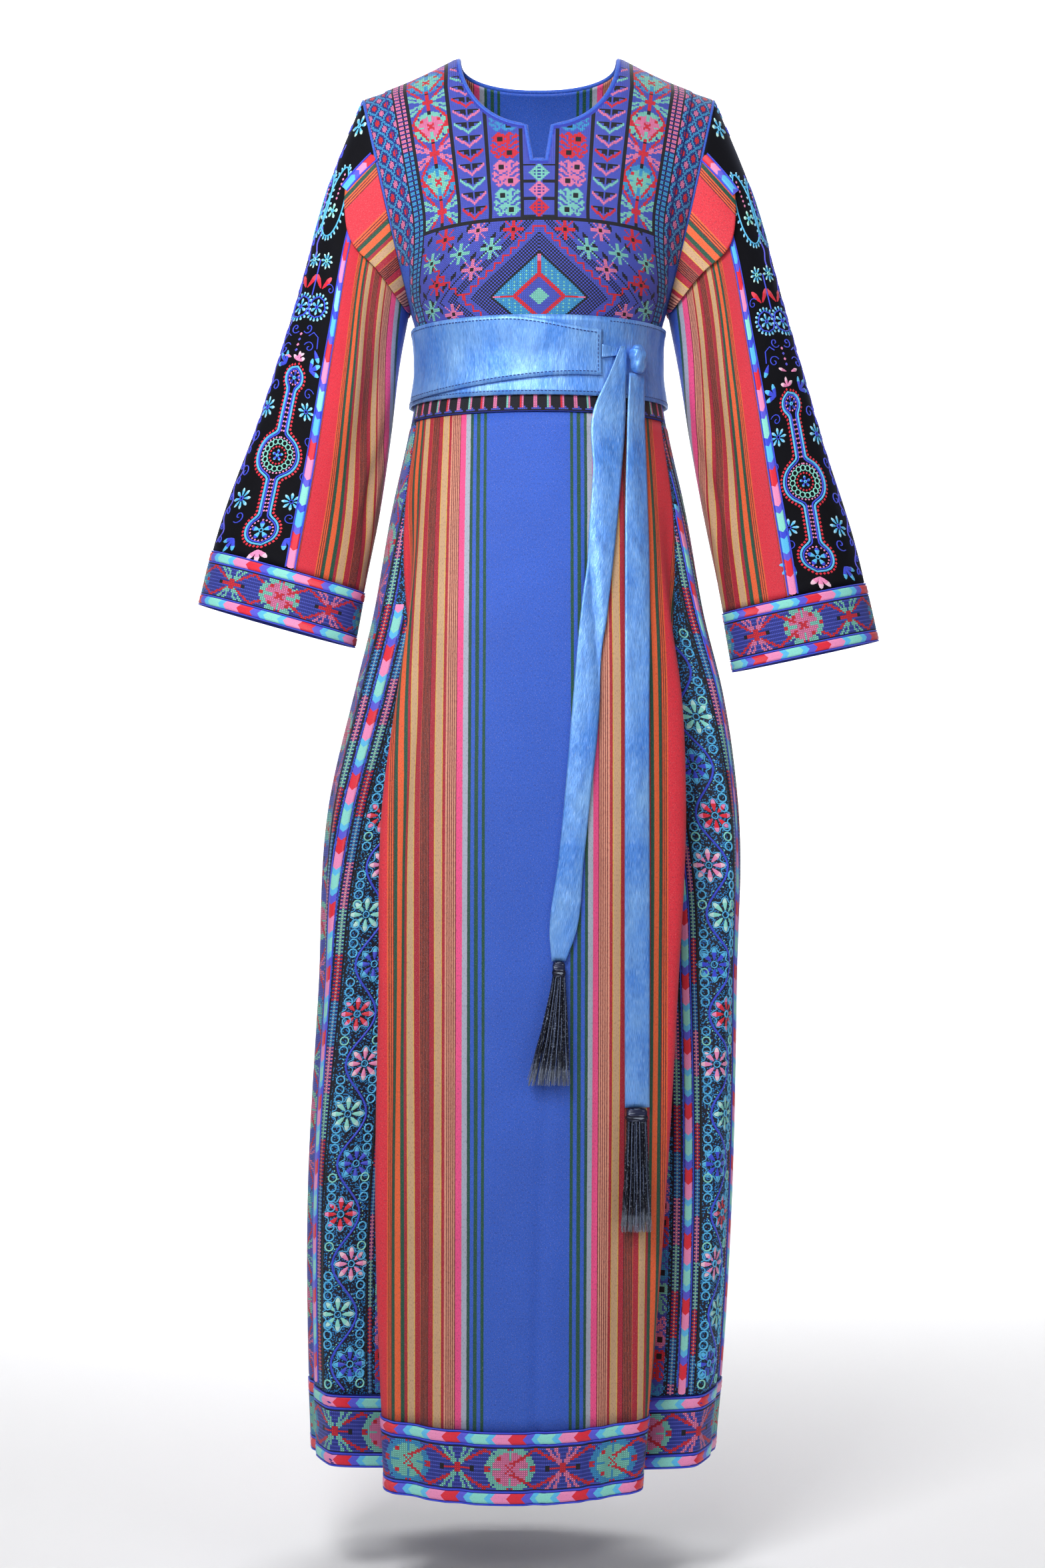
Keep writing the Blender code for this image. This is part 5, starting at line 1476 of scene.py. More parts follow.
def run_across(points):
    """Length walked across each row of a grid to each of its points."""
    steps = np.linalg.norm(np.diff(points, axis=1), axis=2)
    return np.concatenate([np.zeros((len(points), 1)), np.cumsum(steps, 1)], 1)


def sleeve_surface(word):
    """The sleeve unrolled: s round it from the outer edge, front positive; v down it, 0 at the cuff."""
    t = np.linspace(0, 1, 300)
    degrees = np.linspace(-180, 180, 481)
    fine = sleeve_point(degrees[None, :], t[:, None], word)
    arc = run_across(fine)
    arc -= arc[:, [240]]
    rows = [np.stack([np.interp(np.linspace(a[0], a[-1], 481), a, p[:, k]) for k in range(3)], -1)
            for a, p in zip(arc, fine)]
    middle = fine.mean(1)
    v = run_along(middle)
    v -= np.interp(CUFF_T, t, v)
    side = SLEEVE_SIDES[word][0]
    surface = Surface(v, arc[:, [0, -1]], np.array(rows), (side, 0, 0))
    velvet = [np.interp(sleeve("velvet_deg", k), degrees, a) for k, a in zip(t, arc)]
    return surface, np.array(velvet), t


def motif_frame(surface, s, v, turn):
    """Lays a motif drawn square on to a surface whose rows may run aslant: its own x and y become s and v
    through the slopes of the cloth at its middle."""
    step = 0.002
    along = (surface.at(s + step, v) - surface.at(s - step, v)) / (2 * step)
    down = (surface.at(s, v + step) - surface.at(s, v - step)) / (2 * step)
    normal = unit(np.cross(along, down))
    up = unit(-down)
    right = unit(np.cross(up, normal)) * np.sign(np.dot(np.cross(up, normal), along))
    plane = np.array([[np.dot(along, right), np.dot(down, right)], [np.dot(along, up), np.dot(down, up)]])
    back = np.linalg.inv(plane)
    cosine, sine = np.cos(turn), np.sin(turn)

    def frame(x, y):
        x, y = x * cosine + y * sine, -x * sine + y * cosine
        return s + back[0, 0] * x + back[0, 1] * y, v + back[1, 0] * x + back[1, 1] * y
    return frame


def velvet_finish():
    """Short black pile: near black face on, with a faint blue bloom where the pile is seen from the side."""
    f = Finish("velvet", Roughness=0.85, Specular_IOR_Level=0.15, Sheen_Weight=0.35, Sheen_Roughness=0.35,
               Sheen_Tint=(0.20, 0.22, 0.34, 1))
    place, u, v = f.uv()
    pile = f.noise(place, 2600.0, 2.0)
    base = f.mix(f.noise(place, 35.0, 3.0), colour("#050508"), colour("#0E0E16"))
    return f.finish(base, pile, depth=0.0002, strength=0.4)


velvet = velvet_finish()


def scroll(work, x, y, size, turn, hand=1):
    """A spiral tendril that unrolls from a curl at (x, y)."""
    way = np.linspace(0.0, 1.0, 22)
    angle = turn + hand * way * 2 * np.pi * 1.25
    r = size * (0.12 + 0.88 * way ** 1.4)
    work.cord(line_of(x + r * np.sin(angle), y + r * np.cos(angle)), 0.0011, CORD_BLUE, 0.0007)


def sprig(work, x, y, size, turn, tint, tip):
    """Three leaves from one stem."""
    for lean, share in ((-0.75, 0.8), (0.0, 1.0), (0.75, 0.8)):
        work.petal(x, y, size * share, size * 0.36, turn + lean, tint, tip)


def medallion(work):
    """Three round lobes on a stem, ringed by beads and a double cord, with loops and a star at its heart."""
    lobes = ((0.0780, 0.0112), (0.0, 0.0225), (-0.0780, 0.0155))
    stem = 0.0050

    def outline(grow, count=150):
        """The widest of the stem and the three circles at each height, both halves, grown by a margin."""
        y = np.linspace(lobes[0][0] + lobes[0][1] + grow, lobes[2][0] - lobes[2][1] - grow, count // 2)
        half = np.where((y < lobes[0][0]) & (y > lobes[2][0]), stem + grow, 0.0)
        for middle, radius in lobes:
            half = np.maximum(half, np.sqrt(np.maximum((radius + grow) ** 2 - (y - middle) ** 2, 0)))
        half = np.convolve(np.pad(half, 1, mode="edge"), [0.25, 0.5, 0.25], "valid")
        half = np.maximum(half, 0.0004)
        return np.concatenate([np.stack([half, y], -1), np.stack([-half, y], -1)[-2:0:-1]])

    def beads(path, spacing, size, tint):
        """Knots at even steps along a closed path."""
        path = np.concatenate([path, path[:1]])
        length = run_along(path)
        for at in np.arange(0, length[-1] - spacing / 2, spacing):
            x, y = (np.interp(at, length, path[:, c]) for c in (0, 1))
            work.bead(x, y, size, tint, 0.0011)

    work.cord(outline(0.0004), 0.0023, LIGHT_BLUE, 0.0012, closed=True)
    work.cord(outline(-0.0019), 0.0017, CORD_BLUE, 0.0009, closed=True)
    beads(outline(0.0032), 0.0040, 0.0034, FLOSS_RED)
    for middle, radius in lobes:
        beads(circle(0.0, middle, radius - 0.0044, 40), 0.0036, 0.0024, FLOSS_PINK)
    for k in range(16):
        a = 2 * np.pi * k / 16
        loop = circle(0.0138 * np.sin(a), 0.0138 * np.cos(a), 0.0028, 8)
        work.cord(loop, 0.0011, FLOSS_MINT, 0.0009, closed=True)
        work.bead(0.0088 * np.sin(a), 0.0088 * np.cos(a), 0.0026, FLOSS_RED, 0.0012)
    daisy(work, 0.0, 0.0, 0.0125, 5, CORD_BLUE, LIGHT_BLUE, heart=LIGHT_BLUE)
    daisy(work, 0.0, lobes[0][0], 0.0150, 5, DEEP_BLUE, CORD_BLUE)
    daisy(work, 0.0, lobes[2][0], 0.0205, 5, LIGHT_BLUE, CORD_BLUE)
    for k in range(9):
        for aside in (-0.0013, 0.0013):
            work.bead(aside, 0.0250 + 0.0046 * k, 0.0025, FLOSS_PINK, 0.0010)
            work.bead(aside, -0.0250 - 0.0040 * k, 0.0025, FLOSS_PINK, 0.0010)
    foot, top = lobes[2][0] - lobes[2][1] - 0.006, lobes[0][0] + lobes[0][1] + 0.006
    for lean in (-0.8, 0.0, 0.8):
        work.petal(0.0, foot, 0.0135, 0.0062, np.pi + lean, FLOSS_PINK, PALE_PINK)
        work.petal(0.0, top, 0.0095, 0.0050, lean * 1.4, FLOSS_PINK, PALE_PINK)


def paisley(work, x, y, size):
    """A hanging drop ringed by petals, with a flower in its belly and a bead chain up its neck."""
    t = np.linspace(0, 2 * np.pi, 30, endpoint=False)
    r = size * (0.50 - 0.16 * np.cos(t))
    neck = 0.12 * size * (1 + np.cos(t)) ** 2
    path = line_of(x + 0.66 * r * np.sin(t), y + 1.25 * r * np.cos(t) + neck)
    work.cord(path, 0.0015, LIGHT_BLUE, 0.0009, closed=True)
    for (px, py), a in list(zip(path, t))[1:-1]:
        work.petal(px, py, 0.0050, 0.0034, a, LIGHT_BLUE, PALE_BLUE)
    daisy(work, x, y - 0.20 * size, 0.0165, 5, FLOSS_MINT, PALE_MINT)
    for k in range(6):
        work.bead(x, y + size * (0.12 + 0.12 * k), 0.0034, FLOSS_PINK, 0.0012)


PALE_RED = colour("#F4485C")


def flower_pair(work):
    """Two ringed blossoms, each under a pair of red leaves and a small daisy."""
    for lean in (-1, 1):
        x = 0.0112 * lean
        work.cord(circle(x, -0.018, 0.0105, 20, 8, 0.05), 0.0015, CORD_BLUE, 0.0009, closed=True)
        for k in range(18):
            a = 2 * np.pi * k / 18
            work.petal(x + 0.0108 * np.sin(a), -0.018 + 0.0108 * np.cos(a), 0.0042, 0.0035, a, LIGHT_BLUE,
                       PALE_BLUE)
        daisy(work, x, -0.018, 0.0170, 6, LIGHT_BLUE, PALE_BLUE, heart=CORD_BLUE)
        for tilt in (-0.62, 0.62):
            work.petal(x + 0.001 * np.sign(tilt), 0.0015, 0.0170, 0.0068, tilt, FLOSS_RED, PALE_RED)
        daisy(work, 0.0098 * lean, 0.0300, 0.0180, 8, LIGHT_BLUE, PALE_MINT, heart=FLOSS_MINT)
        scroll(work, 0.0235 * lean, 0.0030, 0.0062, 0.6 * lean, -lean)
        scroll(work, 0.0080 * lean, -0.0400, 0.0060, np.pi - 0.6 * lean, lean)
    work.cord(line_of(0.0, np.linspace(-0.006, 0.030, 12)), 0.0013, CORD_BLUE)


# Small motifs round the medallion: x and y from its middle, then a size, or a turn and a hand, or a turn.
MEDALLION_DAISIES = ((-0.0275, 0.046, 0.0215), (0.0225, 0.050, 0.0195), (-0.0290, -0.043, 0.0215),
                     (0.0235, -0.046, 0.0200))
MEDALLION_SCROLLS = (
    (-0.034, 0.020, 2.6, 1), (0.031, 0.022, 3.4, -1), (-0.035, -0.016, 0.6, -1), (0.032, -0.018, 5.6, 1),
    (-0.024, 0.067, 0.4, -1), (0.022, 0.067, 5.8, 1), (-0.027, -0.061, 2.4, 1), (0.025, -0.064, 3.8, -1),
)
MEDALLION_SPRIGS = ((-0.017, 0.089, -0.9), (0.018, 0.090, 0.9), (-0.027, -0.084, 3.9), (0.024, -0.088, 2.4))


def velvet_work(surface, word):
    """The couched pattern on one half of the velvet, and its mirror on the other half."""
    work = Needlework()
    v = surface.v
    for hand in (1, -1):
        def move(s, height, turn):
            """Moves on to s round the arm and a height on the left sleeve; the right sleeve hangs lower."""
            z = ARM_TOP[1] + (height - ARM_TOP[1]) * SLEEVE_SIDES[word][1]
            heights = surface.at(np.full(len(v), hand * s), v)[:, 2]
            work.frame = motif_frame(surface, hand * s, np.interp(-z, -heights, v), hand * turn)

        move(0.0620, -0.402, -0.08)
        medallion(work)
        for dx, dy, size in MEDALLION_DAISIES:
            daisy(work, dx, dy, size, 8, LIGHT_BLUE, PALE_BLUE, heart=CORD_BLUE)
        for dx, dy, turn, side in MEDALLION_SCROLLS:
            scroll(work, dx, dy, 0.0070, turn, side)
        for dx, dy, turn in MEDALLION_SPRIGS:
            sprig(work, dx, dy, 0.0165, turn, CORD_BLUE, LIGHT_BLUE)
        move(0.0475, -0.236, 0.02)
        flower_pair(work)
        for lean in (-1, 1):
            scroll(work, 0.0145 * lean, -0.060, 0.0068, 0.4 * lean, -lean)
            work.petal(0.022 * lean, -0.062, 0.0140, 0.0056, 2.6 * lean, CORD_BLUE, LIGHT_BLUE)
            work.cord([(0.011 * lean, -0.048), (0.016 * lean, -0.044), (0.022 * lean, -0.048),
                       (0.024 * lean, -0.060)], 0.0012, CORD_BLUE)
            work.petal(0.003 * lean, -0.070, 0.0090, 0.0042, 1.2 * lean, FLOSS_PINK, PALE_PINK)
        for k in range(4):
            work.bead(0.0, -0.046 - 0.0055 * k, 0.0036, VIOLET if k % 2 else FLOSS_PINK, 0.0011)
        move(0.0345, -0.146, 0.0)
        paisley(work, -0.0125, -0.004, 0.036)
        paisley(work, 0.0105, -0.002, 0.042)
        work.cord(line_of(0.0016 * np.sin(np.linspace(0, 9, 20)), np.linspace(-0.062, -0.028, 20)), 0.0018,
                  VIOLET)
        move(0.0300, -0.072, 0.1)
        daisy(work, 0.006, 0.002, 0.0240, 6, LIGHT_BLUE, PALE_MINT)
        daisy(work, -0.016, 0.022, 0.0180, 6, CORD_BLUE, LIGHT_BLUE)
        scroll(work, -0.018, 0.000, 0.0070, 0.5)
        scroll(work, 0.015, 0.022, 0.0070, 2.8, -1)
        # A chain of small curls runs down beside the outer edge.
        work.frame = straight
        for k, up in enumerate(np.arange(0.010, 0.345, 0.0125)):
            s = hand * (0.0185 + 0.0018 * (-1) ** k)
            angle = np.linspace(0, 2 * np.pi * 1.15, 14) + (0.4 if k % 2 else 3.4)
            r = 0.0036 * np.linspace(0.25, 1.0, 14)
            work.cord(line_of(s + r * np.sin(angle), -up + r * np.cos(angle)), 0.0011, CORD_BLUE, 0.0007)
        y = np.arange(-0.345, -0.006, 0.0025)
        work.cord(line_of(hand * (0.0185 + 0.0044 * np.sin(2 * np.pi * y / 0.025)), y), 0.0011, VIOLET)
    return work


def sleeve_wall(name, low, high, t, columns, word, inner, outer, ring=False, uv=None):
    """A wall of sleeve cloth between two edges in degrees, one pair for each t."""
    f = np.linspace(0, 1, columns)[None, :]
    degrees = low[:, None] + (high - low)[:, None] * f
    t = t[:, None] + 0 * f
    points, normals = sleeve_point(degrees, t, word), sleeve_normal(degrees, t, word)
    if ring:
        points, normals = points[:, :-1], normals[:, :-1]
    if uv is None:
        uv = np.stack([0.06 * np.radians(degrees), 0.55 * t], -1)[:, :points.shape[1]]
    return wall(name, points, normals, inner, outer, uv, ring)


# Where the stripes lie across the sleeve: distance from the braid, then distance from the stripes' middle.
STRIPE_PLACES = (
    (0.000, 0.1925), (0.0065, 0.1796), (0.0245, 0.1496), (0.040, 0.1320), (0.100, 0.0760), (0.140, 0.0560),
)
# The cloth is folded over at the top, from the braid's upper end B slantwise to the underarm; the part above
# the fold is cut on the slant, and its stripes run up toward the armhole.
FOLD_WAY = (0.00, 0.25, 0.60, 1.00)
FOLD_DEGREES, FOLD_DOWN = (50.0, 72.0, 112.0, 170.0), (0.130, 0.172, 0.108, 0.010)
ARMHOLE_DEGREES = (68.0, 171.0)


def sleeve_fold(word, sign):
    """The folded part, from the armhole's edge to the fold and from the braid down, raised at its fold."""
    a, b = np.meshgrid(np.linspace(0, 1, 30), np.linspace(0, 1, 70), indexing="ij")
    edge = ARMHOLE_DEGREES[0] + (ARMHOLE_DEGREES[1] - ARMHOLE_DEGREES[0]) * b
    degrees = sign * (edge * (1 - a) + smooth_curve(b, FOLD_WAY, FOLD_DEGREES) * a)
    t = 0.003 * (1 - a) + smooth_curve(b, FOLD_WAY, FOLD_DOWN) * a
    points, normals = sleeve_point(degrees, t, word), sleeve_normal(degrees, t, word)
    rise = 0.0005 + 0.0022 * a ** 3 * smooth_step(b * 12) * smooth_step((1 - b) * 5)
    points = points + rise[..., None] * normals
    end, corner = points[0, 0], points[-1, 0]
    along = unit((corner - end) * (1, 0, 1))
    aside = np.array([-along[2], 0, along[0]])
    aside = aside * np.sign(np.dot(aside, points[-1, -1] - end))
    uv = np.stack([0.1960 - (points - end) @ aside * 1.02, (points - end) @ along], -1)
    name = "front" if sign > 0 else "back"
    fold = wall(f"sleeve_stripe_{word}_fold_{name}", points, normals, 0.0, 0.0012, uv)
    return dress(fold, striped_cloth)


SEAM_BRAID = (
    (0.019, FLOSS_PINK), (0.016, FLOSS_RED), (0.007, VIOLET), (0.015, LIGHT_BLUE), (0.007, CORD_BLUE),
    (0.018, FLOSS_MINT), (0.007, VIOLET),
)
UPPER_BRAID = (
    (0.012, FLOSS_RED), (0.010, FLOSS_PINK), (0.006, VIOLET), (0.016, LIGHT_BLUE), (0.006, VIOLET),
)


def fold_edge(word, sign):
    """Place function for the fold's upper edge, x across it and y down it from the armhole; its length."""
    def point(share):
        """Point and normal at a share of the way down the edge, even in degrees and in t."""
        degrees = sign * (ARMHOLE_DEGREES[0] + (FOLD_DEGREES[0] - ARMHOLE_DEGREES[0]) * share)
        t = 0.003 + (FOLD_DOWN[0] - 0.003) * share
        return sleeve_point(degrees, t, word), sleeve_normal(degrees, t, word)

    length = np.linalg.norm(point(1.0)[0] - point(0.0)[0])

    def place(x, y, out):
        share = np.asarray(y) / length
        middle, normal = point(share)
        ahead = unit(point(share + 0.02)[0] - point(share - 0.02)[0])
        aside = np.cross(normal, ahead)
        return middle + np.asarray(x)[..., None] * aside + (np.asarray(out) + 0.0020)[..., None] * normal

    return place, length


SEAM_DEGREES = 0.22
# The braid over the seams, and the cords that edge it; then the same for the two braids of a cuff.
SEAM_BRAID_WIDTH, SEAM_CORD_ASIDE = 0.0082, 0.0048
CUFF_BRAID_WIDTH, CUFF_CORD_ASIDE, CUFF_BRAID_IN = 0.0088, 0.0052, 0.0058
CUFF_ROWS = 20
CUFF_BAND_IN = 0.011
for word in SLEEVE_SIDES:
    surface, velvet_s, t_fine = sleeve_surface(word)
    t = np.linspace(0, CUFF_T - 0.001, 64)
    edge = sleeve("velvet_deg", t)
    outer_cloth = sleeve_wall(f"sleeve_velvet_{word}_cloth", -edge + SEAM_DEGREES, edge - SEAM_DEGREES, t,
                              71, word, -SLEEVE_CLOTH, 0.0)
    dress(outer_cloth, velvet, ["sleeve_velvet_" + word])
    couching = velvet_work(surface, word).lay(f"sleeve_velvet_{word}_couching", surface.at)
    # The stripes run beside the braid, so they are measured from the velvet's edge.
    f = np.linspace(0, 1, 121)[None, :]
    low, high = edge + SEAM_DEGREES, 360 - edge - SEAM_DEGREES
    degrees = low[:, None] + (high - low)[:, None] * f
    run = run_across(sleeve_point(degrees, t[:, None], word))
    from_braid = np.minimum(run, run[:, -1:] - run)
    uv = np.stack([np.interp(from_braid, *zip(*STRIPE_PLACES)), 0.55 * t[:, None] + 0 * f], -1)
    inner_cloth = sleeve_wall(f"sleeve_stripe_{word}_cloth", low, high, t, 121, word, -SLEEVE_CLOTH, 0.0,
                              uv=uv)
    dress(inner_cloth, striped_cloth, ["sleeve_stripe_" + word])
    folds = [sleeve_fold(word, sign) for sign in (1, -1)]
    # Braid over each seam, from the armhole to the cuff.
    for hand, sign in (("front", 1), ("back", -1)):
        strip = Needlework()
        t_braid = np.linspace(0.150, CUFF_T - 0.003, 110)
        s_edge = sign * np.interp(t_braid, t_fine, velvet_s)
        v_edge = np.interp(t_braid, t_fine, surface.v)
        path = line_of(s_edge, v_edge)[::-1]
        strip.braid(path, SEAM_BRAID_WIDTH, SEAM_BRAID, 0.8, 0.0014)
        for aside in (-SEAM_CORD_ASIDE, SEAM_CORD_ASIDE):
            strip.cord(path + (aside, 0.0), 0.0016, CORD_BLUE, 0.0014)
        upper, reach = fold_edge(word, sign)
        line = np.linspace(0.0, reach, 30)
        turned = Needlework()
        turned.braid(line_of(0.0, line), SEAM_BRAID_WIDTH, UPPER_BRAID, 0.8, 0.0012)
        for aside in (-SEAM_CORD_ASIDE, SEAM_CORD_ASIDE):
            turned.cord(line_of(aside, line), 0.0016, CORD_BLUE, 0.0012)
        folds.append(turned.lay(f"sleeve_braid_{hand}_{word}_fold", upper, slot="braid"))
        strip.lay(f"sleeve_braid_{hand}_{word}_cords",
                                lambda s, v, out: surface.at(s, v, out + 0.0003),
                                [f"sleeve_braid_{hand}_{word}"], "braid")
    # Cuff: cross-stitch between two braids, like the hem.
    t_cuff = np.linspace(CUFF_T + 0.001, 1.0, 9)
    cuff_cloth = sleeve_wall(f"cuff_{word}_ground", np.full(9, -180.0), np.full(9, 180.0), t_cuff, 181, word,
                             -SLEEVE_CLOTH, 0.0006, ring=True)
    dress(cuff_cloth, blue_canvas, ["cuff_" + word])
    v0, v1 = np.interp([CUFF_T + 0.001, 1.0], t_fine, surface.v)
    reach = np.interp((v0 + v1) / 2, surface.v, surface.reach[:, 1])
    cuff_cols = int(2 * reach / HEM_STITCH / 52) * 52
    cuff_cells = border_chart(CUFF_ROWS, cuff_cols)
    band = (v1 - v0) - 2 * CUFF_BAND_IN

    def cuff_place(col, row, out):
        """Place of a stitch of the cuff, counted along it and up from its foot."""
        v = v0 + CUFF_BAND_IN + band * row / CUFF_ROWS
        full = np.interp(v, surface.v, surface.reach[:, 1])
        return surface.at(full * (2 * col / cuff_cols - 1), v, out + 0.0006)

    cuff_stitches = stitched(f"cuff_{word}_stitches", cuff_place, cuff_cells,
                             np.ones(cuff_cells.shape[:2], bool), 0.0005)
    work = Needlework()
    line = np.linspace(-1, 1, 240)

    def ring_place(x, y, out):
        """Place on the cuff: x round it as at its middle, stretched to the girth at y."""
        full = np.interp(y, surface.v, surface.reach[:, 1])
        return surface.at(x / reach * full, y, out + 0.0006)

    for middle in (v0 + CUFF_BRAID_IN, v1 - CUFF_BRAID_IN):
        work.braid(line_of(line * reach, middle), CUFF_BRAID_WIDTH, BRAID_PLAN)
        for aside in (-CUFF_CORD_ASIDE, CUFF_CORD_ASIDE):
            work.cord(line_of(line * reach, middle + aside), 0.0014, CORD_BLUE)
    cuff_braids = work.lay(f"cuff_{word}_braids", ring_place, slot="braid")

# The seam round each armhole, turned and piped in blue.
turn = np.linspace(0, 2 * np.pi, 121)[:-1, None]
for word, (side, *_) in SLEEVE_SIDES.items():
    top, foot = np.array([side * ARM_TOP[0], 0, ARM_TOP[1]]), np.array([side * ARM_FOOT[0], 0, ARM_FOOT[1]])
    ahead = np.array([0, -1.0, 0])
    path = (top + foot) / 2 + (top - foot) / 2 * np.cos(turn) + ARM_HALF_DEPTH * ahead * np.sin(turn)
    half = np.linalg.norm(top - foot) / 2
    normals = unit(unit(top - foot) * np.cos(turn) / half + ahead * np.sin(turn) / ARM_HALF_DEPTH)
    into = np.broadcast_to(unit(np.cross(top - foot, ahead)), path.shape)
    seam = piping(f"armhole_seam_{word}", path, into, normals, -0.0014, 0.0028, -0.0006, 0.0013)
    dress(seam, blue_cloth)


# ================================================================ belt
# One turn of blue satin round the waist, its free end brought across the front and topstitched, a short
# strap to the knot, and the knot itself, wrapped once by the strap.

BELT_TOP_Z, BELT_FOOT_Z = -0.272, -0.350
BELT_WALL = 0.0020
BELT_RUN = 0.4           # length that one whole share of the half girth stands for in the satin's own places
BELT_OFF, FLAP_OFF = 0.0032, 0.0062
FLAP_START, FLAP_END_X = -0.43, 0.0572
FLAP_TOP_FALL, FLAP_FOOT_RISE = 0.0115, 0.0170
TIE_START, TIE_STOP = (0.0125, -0.0010), (0.0090, 0.0040)
KNOT_CENTRE, KNOT_HALF = (0.0885, -0.3110), (0.0085, 0.0065, 0.0138)


def satin_finish():
    """Slubbed satin: bright where it faces the light through its metallic gloss, with pale clouds of painted
    sheen over the blue, painted shade along its crinkles, and fine threads across in dark slubs and pale
    streaks of painted highlight.
    """
    f = Finish("satin", Roughness=0.45, Metallic=0.40, Specular_IOR_Level=0.70, Sheen_Weight=0.25,
               Sheen_Roughness=0.3, Sheen_Tint=(0.55, 0.75, 1.0, 1))
    place, u, v = f.uv()
    painted_sheen_clouds = f.noise(place, 26.0, 3.0, (1.3, 0.7, 1.0))
    crinkles = f.noise(place, 60.0, 4.0, (1.9, 0.45, 1.0), roughness=0.6)
    threads = f.noise(place, 900.0, 2.0, (2.4, 0.16, 1.0))
    # Painted highlight: pale clouds over the satin's blue, standing in for patches of sheen.
    base = f.mix((painted_sheen_clouds - 0.36) * 1.5, colour("#4C8CE4"), colour("#9CCEFA"))
    # Painted shade: darker where the crinkles stand; the same noise bumps the satin.
    base = f.mix((crinkles - 0.55) * 2.4, base, colour("#2A5CB8"))
    # Threads across: darker slubs of the weave, and pale streaks painted as highlight along the grain.
    base = f.mix((threads - 0.50) * 2.0, base, colour("#1A3F94"))
    base = f.mix((0.46 - threads) * 2.2, base, colour("#BCD8F8"))
    return f.finish(base, threads * 0.12 + crinkles, depth=0.0030, strength=0.55)


satin = satin_finish()


def share_at(x, z):
    """Signed share of the half girth at a given x on the front."""
    s = np.linspace(-0.2, 0.2, 1601)
    at = np.interp(x, girth_at(s, z)[:, 0], s)
    return at / half_girth(np.sign(at), z)


def girth_length(share, z):
    """Signed length round the girth from a signed share of the half girth."""
    return share * np.where(share < 0, half_girth(-1, z), half_girth(1, z))


def belt_wall(name, shares, tops, feet, rows, inner, ring=False, ripple=0.0):
    """A band of satin between two edges; ripple gives the depth of its small uneven creases."""
    f = np.linspace(0, 1, rows + 1)[:, None]
    z = tops[None, :] + (feet - tops)[None, :] * f
    shares = np.broadcast_to(shares[None, :], z.shape)
    length = girth_length(shares, z)
    points, normals = girth_at(length, z), girth_normals(length, z)
    s = shares * BELT_RUN
    edge = np.sin(np.pi * f) ** 0.5
    wave = np.sin(38 * s + 60 * z) * 0.5 + np.sin(91 * s - 130 * z + 1.3) * 0.3
    wave = wave + np.sin(17 * s + 210 * z) * 0.2
    points = points + (ripple * edge * wave)[..., None] * normals
    return wall(name, points, normals, inner, inner + BELT_WALL, np.stack([s, z], -1), ring)


TOPSTITCH_BLUE = colour("#16357E")


def topstitch(work, path, spacing=0.0042, length=0.0026):
    """A row of short stitches along a path."""
    path = np.asarray(path, float)
    run = run_along(path)
    for at in np.arange(spacing / 2, run[-1] - length, spacing):
        ends = [[np.interp(at + k * length, run, path[:, c]) for c in (0, 1)] for k in (0.0, 0.5, 1.0)]
        work.cord(ends, 0.0009, TOPSTITCH_BLUE, 0.0003)


shares = np.linspace(-1, 1, 241)[:-1]
level = np.ones_like(shares)
belt_turn = belt_wall("belt_wrap_satin", shares, level * BELT_TOP_Z, level * BELT_FOOT_Z, 14, BELT_OFF,
                      ring=True, ripple=0.0005)
dress(belt_turn, satin, ["belt_wrap"])
way = np.linspace(0, 1, 121)
flap_stop = share_at(FLAP_END_X, (BELT_TOP_Z + BELT_FOOT_Z) / 2)
flap_shares = FLAP_START + (flap_stop - FLAP_START) * way
flap_tops = BELT_TOP_Z - 0.0004 - FLAP_TOP_FALL * smooth_step((way - 0.55) / 0.45)
flap_feet = BELT_FOOT_Z + 0.0030 + FLAP_FOOT_RISE * smooth_step(way / 0.95)
flap = belt_wall("belt_flap_satin", flap_shares, flap_tops, flap_feet, 14, FLAP_OFF, ripple=0.0005)
dress(flap, satin, ["belt_flap"])


def belt_place(out_from):
    """Place function on the belt's turn: x along it from the middle, and z."""
    def place(share, z, out):
        return girth_at(girth_length(share / BELT_RUN, z), z, out_from + out)
    return place


work = Needlework()
inset = 0.0036
end_x = (flap_shares[-1] - 0.0105) * BELT_RUN
before_end = flap_shares * BELT_RUN < end_x
for edge in (flap_tops - inset, flap_feet + inset):
    topstitch(work, line_of(flap_shares * BELT_RUN, edge)[before_end])
topstitch(work, [(end_x, flap_tops[-1] - inset), (end_x, flap_feet[-1] + inset)])
flap_stitches = work.lay("belt_flap_topstitch", belt_place(FLAP_OFF + BELT_WALL + 0.0003), slot="thread")
work = Needlework()
for low, high in ((-1.0, FLAP_START - 0.02), (flap_stop + 0.02, 0.999)):
    line = np.linspace(low, high, 60) * BELT_RUN
    topstitch(work, line_of(line, BELT_TOP_Z - inset))
line = np.linspace(-0.999, 0.999, 120) * BELT_RUN
topstitch(work, line_of(line, BELT_FOOT_Z + inset))
wrap_stitches = work.lay("belt_wrap_topstitch", belt_place(BELT_OFF + BELT_WALL + 0.0002), slot="thread")
way = np.linspace(0, 1, 21)
tie_shares = share_at(FLAP_END_X + 0.0006, KNOT_CENTRE[1]) * (1 - way) + way * share_at(
    KNOT_CENTRE[0] - KNOT_HALF[0] - 0.0004, KNOT_CENTRE[1])
tie_top, tie_foot = (KNOT_CENTRE[1] + start + (stop - start) * way
                     for start, stop in zip(TIE_START, TIE_STOP))
tie = belt_wall("belt_tie_satin", tie_shares, tie_top, tie_foot, 8, FLAP_OFF, ripple=0.0009)
dress(tie, satin, ["belt_tie"])


def power(x, p):
    """A power that keeps its sign, so that a circle's sine and cosine draw a squarer round."""
    return np.sign(x) * np.abs(x) ** p


